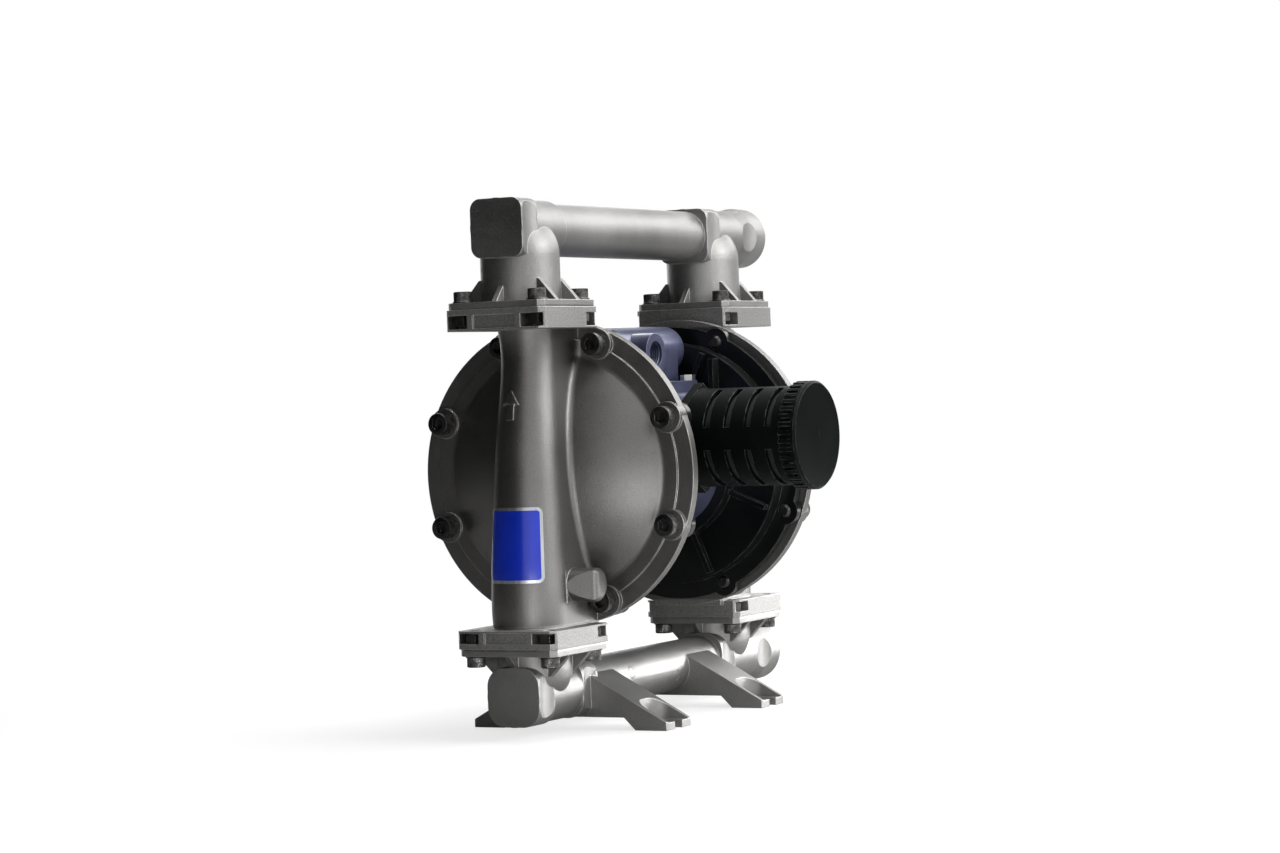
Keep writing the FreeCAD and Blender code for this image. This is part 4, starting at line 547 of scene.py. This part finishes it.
def addLabel(size):
    middleHeight = (size["low"] + size["high"]) / 2
    halfWidth = math.radians(size["halfTurn"]) * columnAt(size, middleHeight)[1]
    plate = begin(
        "labelPlate", bpy.ops.mesh.primitive_plane_add, size=1.0, location=(0, 0, middleHeight),
        rotation=(math.radians(90), 0, 0),
    )
    bpy.ops.transform.resize(value=(halfWidth * 2, 1, size["high"] - size["low"]))
    settle(plate)
    edit(plate)
    bpy.ops.mesh.select_mode(type="VERT")
    bpy.ops.mesh.select_all(action="SELECT")
    bpy.ops.mesh.bevel(offset=size["corner"], affect="VERTICES", segments=size["cornerCuts"])
    bpy.ops.mesh.select_mode(type="FACE")
    bpy.ops.mesh.select_all(action="SELECT")
    bpy.ops.mesh.inset(thickness=size["border"], use_boundary=True)
    leave()
    for face in plate.data.polygons:        # the inset leaves the blue field selected
        face.material_index = int(face.select)
    edit(plate)
    for cut in range(1, size["strips"]):
        across = halfWidth * (2 * cut / size["strips"] - 1)
        bpy.ops.mesh.select_all(action="SELECT")
        bpy.ops.mesh.bisect(plane_co=(across, 0, 0), plane_no=(1, 0, 0))
    for cut in range(1, size["rows"]):
        height = size["low"] + (size["high"] - size["low"]) * cut / size["rows"]
        bpy.ops.mesh.select_all(action="SELECT")
        bpy.ops.mesh.bisect(plane_co=(0, 0, height), plane_no=(0, 0, 1))
    leave()
    for corner in plate.data.vertices:      # wrapped round the tapered column
        middle, radius = columnAt(size, corner.co.z)
        turn = corner.co.x / halfWidth * math.radians(size["halfTurn"])
        reach = radius + size["lift"]
        corner.co = (reach * math.sin(turn), middle - reach * math.cos(turn), corner.co.z)
    field, rim = labelMaterials(size)
    for material in (rim, field):
        plate.data.materials.append(material)
    modify(plate, "SOLIDIFY", thickness=size["thickness"], offset=1.0)
    smooth(plate)
    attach(plate, "casing")
    print("label plate:", len(plate.data.polygons), "faces")


addLabel(label)


# Raised arrow on both columns

arrow = {
    "foot": 0.2240, "shoulder": 0.2345, "tip": 0.2450, "halfStem": 0.0031, "halfHead": 0.0067,
    "aside": 0.0025, "front": 0.175, "raise": 0.0015, "ease": 0.0003, "easeCuts": 2, "point": 0.08,
    "cuts": 5,
    "reach": 0.05,       # how far the cover is looked for from the flat arrow
}


def addArrow(size, side, sign):
    stemMiddle = (size["foot"] + size["shoulder"]) / 2
    mark = begin(
        f"flowArrow_{side}", bpy.ops.mesh.primitive_plane_add, size=1.0,
        location=(sign * size["aside"], sign * size["front"], stemMiddle),
        rotation=(math.radians(90 * -sign), 0, 0),
    )
    bpy.ops.transform.resize(value=(2 * size["halfStem"], 1, size["shoulder"] - size["foot"]))
    settle(mark)
    edit(mark)
    middle = (sign * size["aside"], sign * size["front"], size["shoulder"])
    pick(mark, "EDGE", lambda edge: lowest(edge) > size["shoulder"] - hair)
    bpy.ops.mesh.extrude_region_move(TRANSFORM_OT_translate={"value": (0, 0, 0)})
    widen = size["halfHead"] / size["halfStem"]
    bpy.ops.transform.resize(value=(widen, 1, 1), center_override=middle)
    bpy.ops.mesh.extrude_region_move(
        TRANSFORM_OT_translate={"value": (0, 0, size["tip"] - size["shoulder"])}
    )
    bpy.ops.transform.resize(value=(size["point"], 1, 1), center_override=middle)
    bpy.ops.mesh.select_all(action="SELECT")
    bpy.ops.mesh.subdivide(number_cuts=size["cuts"])
    bpy.ops.mesh.remove_doubles(threshold=gap)
    leave()
    modify(
        mark, "SHRINKWRAP", target=frame["nodes"][f"fluid_cover_{side}"], wrap_method="PROJECT",
        use_project_y=True, use_negative_direction=True, use_positive_direction=True,
        project_limit=size["reach"], offset=0.0,
    )
    modify(mark, "SOLIDIFY", thickness=size["raise"] * 2, offset=0.0)
    modify(mark, "BEVEL", width=size["ease"], segments=size["easeCuts"], limit_method="ANGLE")
    finishPiece(mark, "cast_cover")


for sideName, sideSign in pumpSides:
    addArrow(arrow, sideName, sideSign)
print("arrows made")


# Socket-head bolts and nuts, each modelled once and copied

boltCommon = {
    "grooveIn": 0.022, "grooveDeep": 0.028,          # shares of the head's radius
    "core": 0.86, "root": 0.84, "tipEase": 0.2,      # shares of the shank's radius
    "threadRise": 0.8,                               # share of the pitch
    "overlap": 0.0004, "sides": 24, "threadSteps": 20, "edgeCuts": 3, "washerSides": 48,
    "washerCuts": 2,
}
coverBoltSize = {
    **boltCommon, "headRadius": 0.0080, "headHeight": 0.0100, "socket": 0.0047,
    "socketDepth": 0.0052, "shank": 0.0050, "length": 0.0207, "edge": 0.0007, "knurl": 56,
    "pitch": 0.0015, "threaded": 0.0060, "washer": 0.0,
    "count": 8, "circle": 0.099, "seat": 0.1027, "twist": 2.4,
}
flangeBoltSize = {
    **boltCommon, "headRadius": 0.0065, "headHeight": 0.0080, "socket": 0.0038,
    "socketDepth": 0.0042, "shank": 0.0040, "length": 0.0165, "edge": 0.0006, "knurl": 48,
    "pitch": 0.00125, "threaded": 0.0068,
    "washer": 0.0074, "washerHeight": 0.0011, "washerEase": 0.0003,
    "outletSeat": 0.3076, "inletSeat": 0.0596, "twist": 1.7,
}
nutSize = {
    "flats": 0.0130, "height": 0.0065, "bore": 0.0043, "boreSides": 32, "chamfer": 0.0009,
    "chamferSides": 48,
    "outlet": (0.2921, 0.2986), "inlet": (0.0686, 0.0751),       # lower and upper face
}
flangeHoles = [(x, y) for x in (-0.030, 0.030) for y in (-0.172, -0.112, 0.112, 0.172)]


def cutWith(piece, cutter, operation="DIFFERENCE"):
    modify(piece, "BOOLEAN", object=cutter, operation=operation, solver="EXACT")
    bpy.data.objects.remove(cutter, do_unlink=True)


def boltModel(name, size):            # stands head up, the underside of its head at the origin
    head = begin(
        name, bpy.ops.mesh.primitive_cylinder_add, vertices=size["knurl"],
        radius=size["headRadius"], depth=size["headHeight"],
        location=(0, 0, size["headHeight"] / 2),
    )
    settle(head)
    edit(head)
    pick(head, "EDGE", lambda edge: lowest(edge) > size["headHeight"] - hair)
    bpy.ops.mesh.bevel(offset=size["edge"], segments=size["edgeCuts"])
    pick(head, "FACE", lambda face: abs(face.normal.z) < 0.1)
    bpy.ops.mesh.inset(
        thickness=size["headRadius"] * size["grooveIn"],
        depth=-size["headRadius"] * size["grooveDeep"], use_individual=True,
    )
    leave()
    socket = begin(
        "socketCutter", bpy.ops.mesh.primitive_cylinder_add, vertices=6, radius=size["socket"],
        depth=size["socketDepth"] * 2, location=(0, 0, size["headHeight"]),
    )
    settle(socket)
    cutWith(head, socket)
    plain = size["length"] - size["threaded"]
    shank = begin(
        "shank", bpy.ops.mesh.primitive_cylinder_add, vertices=size["sides"],
        radius=size["shank"], depth=plain, location=(0, 0, -plain / 2),
    )
    settle(shank)
    coreMiddle = -plain - size["threaded"] / 2 + size["overlap"] / 2
    core = begin(
        "core", bpy.ops.mesh.primitive_cylinder_add, vertices=size["sides"],
        radius=size["shank"] * size["core"], depth=size["threaded"] + size["overlap"],
        location=(0, 0, coreMiddle),
    )
    settle(core)
    edit(core)
    pick(core, "EDGE", lambda edge: highest(edge) < hair - size["length"])
    bpy.ops.mesh.bevel(offset=size["shank"] * size["tipEase"], segments=1)
    leave()
    thread = threadModel("boltThread", {
        "root": size["shank"] * size["root"], "crest": size["shank"], "pitch": size["pitch"],
        "turns": int(size["threaded"] / size["pitch"]) - 1, "steps": size["threadSteps"],
    })
    threadFoot = -size["length"] + size["pitch"] * size["threadRise"]
    thread.data.transform(Matrix.Translation((0, 0, threadFoot)))
    pieces = [head, shank, core, thread]
    if size["washer"]:
        pieces.append(washerModel(size))
    return joinAs(name, pieces)


def washerModel(size):
    washer = begin(
        "washer", bpy.ops.mesh.primitive_cylinder_add, vertices=size["washerSides"],
        radius=size["washer"], depth=size["washerHeight"],
        location=(0, 0, size["washerHeight"] / 2),
    )
    settle(washer)
    edit(washer)
    pick(washer, "EDGE", lambda edge: lowest(edge) > size["washerHeight"] - hair)
    bpy.ops.mesh.bevel(offset=size["washerEase"], segments=size["washerCuts"])
    leave()
    return washer


def threadModel(name, size, share=0.46):      # one closed ridge wound upward round Z
    ridge = begin(
        name, bpy.ops.mesh.primitive_circle_add, vertices=3, radius=1.0, fill_type="NOTHING",
    )
    half = size["pitch"] * share      # under half the pitch, so that turns don't touch
    corners = ((size["crest"], 0.0), (size["root"], half), (size["root"], -half))
    for corner, (radius, height) in zip(ridge.data.vertices, corners):
        corner.co = (radius, 0, height)
    modify(
        ridge, "SCREW", axis="Z", angle=math.tau, screw_offset=size["pitch"],
        iterations=size["turns"], steps=size["steps"], render_steps=size["steps"],
        use_merge_vertices=True,
    )
    edit(ridge)
    bpy.ops.mesh.select_all(action="SELECT")
    bpy.ops.mesh.fill_holes(sides=3)
    bpy.ops.mesh.normals_make_consistent(inside=False)
    leave()
    return ridge


def nutModel(size):
    corner = size["flats"] / math.sqrt(3)
    nut = begin(
        "nut", bpy.ops.mesh.primitive_cylinder_add, vertices=6, radius=corner,
        depth=size["height"],
    )
    settle(nut)
    rounding = begin(
        "nutRound", bpy.ops.mesh.primitive_cylinder_add, vertices=size["chamferSides"],
        radius=corner + gap, depth=size["height"],
    )
    settle(rounding)
    edit(rounding)
    pick(rounding, "EDGE", lambda edge: highest(edge) - lowest(edge) < hair)
    bpy.ops.mesh.bevel(offset=size["chamfer"], segments=1)
    leave()
    cutWith(nut, rounding, "INTERSECT")
    bore = begin(
        "nutBore", bpy.ops.mesh.primitive_cylinder_add, vertices=size["boreSides"],
        radius=size["bore"], depth=size["height"] * 2,
    )
    settle(bore)
    cutWith(nut, bore)
    return nut


def placedRow(model, name, places, slotName, node):
    copies = [copyTo(model, f"{name}{number}", place) for number, place in enumerate(places)]
    whole = joinAs(name, copies)
    finishPiece(whole, slotName, fastenerAngle)
    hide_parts(node)


def coverBoltPlaces(size, sign):      # round the rim, heads outward, each turned its own way
    places = []
    step = 360 / size["count"]
    for number in range(size["count"]):
        angle = math.radians(step / 2 + step * number)
        across, rise = size["circle"] * math.cos(angle), size["circle"] * math.sin(angle)
        outward = Matrix.Rotation(math.radians(-90 * sign), 4, "X")
        twist = Matrix.Rotation(number * size["twist"], 4, "Z")
        middle = Matrix.Translation((across, sign * size["seat"], shaftHeight + rise))
        places.append(middle @ (outward @ twist))
    return places


def flangeBoltPlaces(size, level, flip):
    return [
        Matrix.Translation((x, y, level)) @ flip @ Matrix.Rotation(number * size["twist"], 4, "Z")
        for number, (x, y) in enumerate(flangeHoles)
    ]


def nutPlaces(faces):
    turn = Matrix.Rotation(math.radians(30), 4, "Z")
    return [Matrix.Translation((x, y, sum(faces) / 2)) @ turn for x, y in flangeHoles]


coverBolt = boltModel("coverBolt", coverBoltSize)
flangeBolt = boltModel("flangeBolt", flangeBoltSize)
flangeNut = nutModel(nutSize)
for sideName, sideSign in pumpSides:
    placedRow(coverBolt, f"coverBolts_{sideName}", coverBoltPlaces(coverBoltSize, sideSign),
              "black_fastener", f"cover_bolts_{sideName}")
for end, turned in (("outlet", Matrix.Identity(4)), ("inlet", Matrix.Rotation(math.pi, 4, "X"))):
    boltPlaces = flangeBoltPlaces(flangeBoltSize, flangeBoltSize[f"{end}Seat"], turned)
    placedRow(flangeBolt, f"{end}FlangeBolts", boltPlaces, "black_fastener", f"{end}_flange_bolts")
for end in ("outlet", "inlet"):
    placedRow(flangeNut, f"{end}FlangeNuts", nutPlaces(nutSize[end]), "nut_steel",
              f"{end}_flange_nuts")
for model in (coverBolt, flangeBolt, flangeNut):
    bpy.data.objects.remove(model, do_unlink=True)
print("bolts and nuts placed")


# Pipe threads in the ports

fluidThread = {          # "inner" is where the thread starts, deep in its port
    "root": 0.01592, "crest": 0.01495, "pitch": 0.0022, "turns": 10, "steps": 48,
    "inner": 0.1845, "ports": (("outletPortThread", 0.3589), ("inletPortThread", 0.0304)),
}
airThread = {
    "root": 0.00947, "crest": 0.00862, "pitch": 0.0018, "turns": 9, "steps": 36,
    "inner": 0.0135, "height": 0.268,
}


def addPortThread(name, size, middle, turn, slotName):
    ridge = threadModel(name, size)
    ridge.data.transform(Matrix.Translation(middle) @ turn)
    finishPiece(ridge, slotName, threadAngle)


for name, height in fluidThread["ports"]:
    addPortThread(name, fluidThread, (0, fluidThread["inner"], height),
                  Matrix.Rotation(math.radians(-90), 4, "X"), "cast_manifold")
addPortThread("airInletThread", airThread, (airThread["inner"], 0, airThread["height"]),
              Matrix.Rotation(math.radians(90), 4, "Y"), "housing_paint")
print("threads cut")


# Rubber diaphragms, each in eight parts, with a rolled ring between the shaft's plates and the clamped rim

diaphragm = {
    "parts": 8, "steps": 12, "face": 0.0900, "thickness": 0.0020,
    "hole": 0.0065, "plate": 0.0500, "held": 0.0840, "rim": 0.0935,      # radii, inner to outer
    "rollMiddle": 0.0680, "rollHalf": 0.0140, "rollRise": 0.0050, "rollCuts": 18,
    "rollMargin": 0.0007,
}


def rubberFace(size, radius, above):  # how far out the rubber's inner or outer face lies
    sink = (size["rollHalf"] ** 2 - size["rollRise"] ** 2) / (2 * size["rollRise"])
    reach = sink + size["rollRise"] + above
    away = radius - size["rollMiddle"]
    return size["face"] + max(above, math.sqrt(max(reach ** 2 - away ** 2, 0.0)) - sink)


def diaphragmPart(size):              # one eighth, turned out of its section about Y
    width = size["rim"] - size["hole"]
    part = begin("diaphragmPart", bpy.ops.mesh.primitive_plane_add, size=1.0,
                 location=(size["hole"] + width / 2, 0, 0))
    bpy.ops.transform.resize(value=(width, size["thickness"], 1))
    settle(part)
    edit(part)
    rollWidth = size["rollHalf"] + size["rollMargin"]
    rolled = [size["rollMiddle"] + rollWidth * (2 * cut / size["rollCuts"] - 1)
              for cut in range(size["rollCuts"] + 1)]
    for radius in (size["plate"], *rolled, size["held"]):
        bpy.ops.mesh.select_all(action="SELECT")
        bpy.ops.mesh.bisect(plane_co=(radius, 0, 0), plane_no=(1, 0, 0))
    leave()
    for corner in part.data.vertices:
        above = size["thickness"] if corner.co.y > 0 else 0.0
        corner.co.y = rubberFace(size, corner.co.x, above)
    edit(part)
    bpy.ops.mesh.select_all(action="SELECT")
    bpy.ops.mesh.spin(
        steps=size["steps"], angle=math.tau / size["parts"], center=(0, 0, 0), axis=(0, 1, 0),
    )
    bpy.ops.mesh.select_all(action="SELECT")
    bpy.ops.mesh.remove_doubles(threshold=gap / 2)
    bpy.ops.mesh.normals_make_consistent(inside=False)
    leave()
    return part


def addDiaphragm(size, model, side, sign):
    centre = Vector((0, 0, shaftHeight))
    outward = Matrix.Translation(centre) @ Matrix.Rotation(0 if sign > 0 else math.pi, 4, "Z")
    turn = math.tau / size["parts"]
    for number in range(size["parts"]):
        place = outward @ Matrix.Rotation(turn * number, 4, "Y")
        part = copyTo(model, f"diaphragm_{side}_part{number + 1}", place)
        along = sum((corner.co - centre for corner in part.data.vertices), Vector())
        along.y = 0
        along.normalize()
        part.data.materials.append(slotMaterials["diaphragm_rubber"])
        smooth(part)
        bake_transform(part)
        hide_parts(f"diaphragm_{side}")


eighth = diaphragmPart(diaphragm)
for sideName, sideSign in pumpSides:
    addDiaphragm(diaphragm, eighth, sideName, sideSign)
bpy.data.objects.remove(eighth, do_unlink=True)
print("diaphragms made")


# Floor, light and camera

stage = {
    "floorSize": 14.0, "floorSides": 96, "floorInset": 9.8, "floorTone": (0.3, 0.3, 0.3),
    "mottle": 1.02, "mottleScale": 3.0, "shadowReach": (0.75, 1.5), "floorGlow": 0.74,
    # glossGlow, pool and reflectedGlowPoolBack: a painted pool of light on the floor that only reflections see
    "ambient": 0.03, "glossGlow": (0.03, 1.0), "reflectedGlowPool": (0.0, 0.24), "reflectedGlowPoolBack": (0.75, 0.35),
    "screen": {      # reaches round the object from one bearing to the other, in degrees
        "radius": 1.15, "height": 2.10, "from": -112.0, "to": 7.0, "steps": 180,
    },
    "flag": {"middle": (0.29, 0.25, 0.245), "width": 0.32, "height": 0.19, "turn": -28.0},
    "darkReflectionTones": ((0.018, 0.018, 0.019), (0.0198, 0.0198, 0.0209)), "darkReflectionScale": 30.0,
    "lamps": (      # name, place, aimed at, width, height, watts, beam in degrees
        ("keySoftBox", (2.15, 0.38, 1.25), (0, 0, 0.2), 1.8, 1.2, 43.0, 180.0),
        ("topSoftBox", (0.5, 0.3, 2.3), (0, 0, 0.2), 1.4, 1.2, 34.0, 180.0),
        ("rearPanel", (0.71, 1.94, 1.2), (0, 0, 0.25), 1.6, 0.7, 12.0, 180.0),
        ("lowPanel", (0.46, 0.54, 0.15), (0, -0.08, -0.05), 0.9, 0.3, 1.1, 50.0),
        ("frontStrip", (0.36, -0.60, 0.03), (0.09, -0.10, 0.12), 0.35, 0.06, 0.07, 50.0),
        ("backFill", (-1.5, 1.75, 1.0), (0, 0, 0.2), 1.2, 1.4, 16.0, 180.0),
    ),
}


def rayKinds(finish):                 # 1 for the camera, and 1 for what shows in metal and glass
    rays = finish.tree.nodes.new("ShaderNodeLightPath")
    camera, glossy, through = (
        Wire(finish, rays.outputs[f"Is {kind} Ray"])
        for kind in ("Camera", "Glossy", "Transmission")
    )
    return camera, (glossy + through).spread(0.0, 1.0)


def addFloor(size):
    floor = begin(
        "floor", bpy.ops.mesh.primitive_circle_add, vertices=size["floorSides"],
        radius=size["floorSize"], fill_type="NGON",
    )
    edit(floor)
    bpy.ops.mesh.select_all(action="SELECT")
    bpy.ops.mesh.inset(thickness=size["floorInset"])
    leave()
    finish = Finish("floorPaper", Roughness=0.9, IOR=1.3, Specular_IOR_Level=0.1)
    lighter = tuple(channel * size["mottle"] for channel in size["floorTone"])
    finish.show(Base_Color=finish.mix(
        finish.noise(size["mottleScale"], 3.0), size["floorTone"], lighter,
    ))
    camera, mirrored = rayKinds(finish)
    seen = (camera + mirrored).spread(0.0, 1.0)
    # painted light: reflections see the floor glow only in a pool towards +X, fading out towards the back, and
    # nearly dark elsewhere
    reflectedGlowPool = finish.along("X").spread(*size["reflectedGlowPool"]) * finish.along("Y").spread(*size["reflectedGlowPoolBack"])
    dimmed = camera + mirrored * reflectedGlowPool.spread(0.0, 1.0, *size["glossGlow"])
    far = finish.node("VectorMath", {"operation": "LENGTH"}, {0: finish.place}, output="Value")
    far = far.spread(*size["shadowReach"])
    glow = finish.node("Emission", {}, {"Strength": dimmed * size["floorGlow"]})
    paper = finish.node("AddShader", {}, {})
    finish.tree.links.new(finish.shader.outputs[0], paper.socket.node.inputs[0])
    finish.tree.links.new(glow.socket, paper.socket.node.inputs[1])
    white = finish.node("Emission", {}, {"Strength": 1.0})
    whole = finish.node("MixShader", {}, {"Fac": seen * far})
    finish.tree.links.new(paper.socket, whole.socket.node.inputs[1])
    finish.tree.links.new(white.socket, whole.socket.node.inputs[2])
    finish.tree.links.new(whole.socket, finish.tree.nodes["Material Output"].inputs["Surface"])
    floor.data.materials.append(finish.material)


def hangScreen(screen, material):     # reflections see it, and nothing else does
    screen.data.materials.append(material)
    for kind in ("camera", "diffuse", "shadow", "transmission"):
        setattr(screen, "visible_" + kind, False)


# painted reflection: a dark wall on the camera's left and a dark card, seen only in reflections, darken what metal
# and plastic mirror
def addScreens(size):
    darkReflection = Finish("reflectionOnlyDark", Roughness=0.95, Specular_IOR_Level=0.0)
    darkReflection.show(Base_Color=darkReflection.mix(darkReflection.noise(size["darkReflectionScale"], 3.0), *size["darkReflectionTones"]))
    wall = size["screen"]
    screen = begin(
        "darkScreen", bpy.ops.mesh.primitive_cylinder_add, vertices=wall["steps"],
        radius=wall["radius"], depth=wall["height"], end_fill_type="NOTHING",
        location=(0, 0, wall["height"] / 2),
    )
    settle(screen)
    edit(screen)

    def outside(face):
        x, y, z = face.calc_center_median()
        return not wall["from"] < math.degrees(math.atan2(x, -y)) < wall["to"]

    pick(screen, "FACE", outside)
    bpy.ops.mesh.delete(type="FACE")
    leave()
    hangScreen(screen, darkReflection.material)
    # the card paints a dark reflection on the muffler's cap
    flat = size["flag"]               # a dark card behind the muffler's cap
    flag = begin(
        "darkFlag", bpy.ops.mesh.primitive_plane_add, size=1.0, location=flat["middle"],
        rotation=(math.radians(90), 0, math.radians(flat["turn"])),
    )
    bpy.ops.transform.resize(value=(flat["width"], flat["width"], flat["height"]))
    settle(flag)
    hangScreen(flag, darkReflection.material)


def addWorld(size):
    world = bpy.data.worlds.new("studio")
    world.use_nodes = True
    bpy.context.scene.world = world
    tree = world.node_tree
    background = tree.nodes["Background"]
    background.inputs["Color"].default_value = (1, 1, 1, 1)
    rays = tree.nodes.new("ShaderNodeLightPath")
    total = rays.outputs["Is Camera Ray"]
    for name in ("Is Glossy Ray", "Is Transmission Ray"):
        add = tree.nodes.new("ShaderNodeMath")
        add.operation = "MAXIMUM"
        tree.links.new(total, add.inputs[0])
        tree.links.new(rays.outputs[name], add.inputs[1])
        total = add.outputs[0]
    level = tree.nodes.new("ShaderNodeMapRange")
    level.inputs["To Min"].default_value = size["ambient"]
    level.inputs["To Max"].default_value = 1.0
    tree.links.new(total, level.inputs["Value"])
    tree.links.new(level.outputs[0], background.inputs["Strength"])


def addLamps(size):
    for name, place, target, width, height, watts, beam in size["lamps"]:
        lamp = bpy.data.lights.new(name, "AREA")
        lamp.shape = "RECTANGLE"
        lamp.size, lamp.size_y = width, height
        lamp.energy = watts
        lamp.spread = math.radians(beam)
        holder = bpy.data.objects.new(name, lamp)
        holder.location = place
        aim = Vector(target) - Vector(place)
        holder.rotation_euler = aim.to_track_quat("-Z", "Y").to_euler()
        holder.visible_camera = False
        bpy.context.scene.collection.objects.link(holder)


photoView = {
    "azimuth": 28.12, "elevation": 0.82, "roll": -2.08, "distance": 2.44626,
    "target": (0.01533, 0.0, 0.21469), "focalPixels": 3296.66, "imageWidth": 1280,
    "sensorWidth": 36.0,
}


def addCamera(size):
    turn, rise, roll = (math.radians(size[key]) for key in ("azimuth", "elevation", "roll"))
    level = math.cos(rise)
    back = Vector((math.sin(turn) * level, -math.cos(turn) * level, math.sin(rise)))
    right = Vector((math.cos(turn), math.sin(turn), 0))
    up = back.cross(right)
    rightRolled = right * math.cos(roll) + up * math.sin(roll)
    upRolled = up * math.cos(roll) - right * math.sin(roll)
    lens = bpy.data.cameras.new("photoCamera")
    lens.sensor_width = size["sensorWidth"]
    lens.lens = lens.sensor_width * size["focalPixels"] / size["imageWidth"]
    lens.clip_end = 100.0
    camera = bpy.data.objects.new("photoCamera", lens)
    bpy.context.scene.collection.objects.link(camera)
    axes = Matrix((rightRolled, upRolled, back)).transposed().to_4x4()
    place = Vector(size["target"]) + back * size["distance"]
    camera.matrix_world = Matrix.Translation(place) @ axes
    bpy.context.scene.camera = camera


addFloor(stage)
addScreens(stage)
addWorld(stage)
addLamps(stage)
addCamera(photoView)
bpy.context.scene.view_settings.view_transform = "Standard"
print("stage, lamps and camera set")
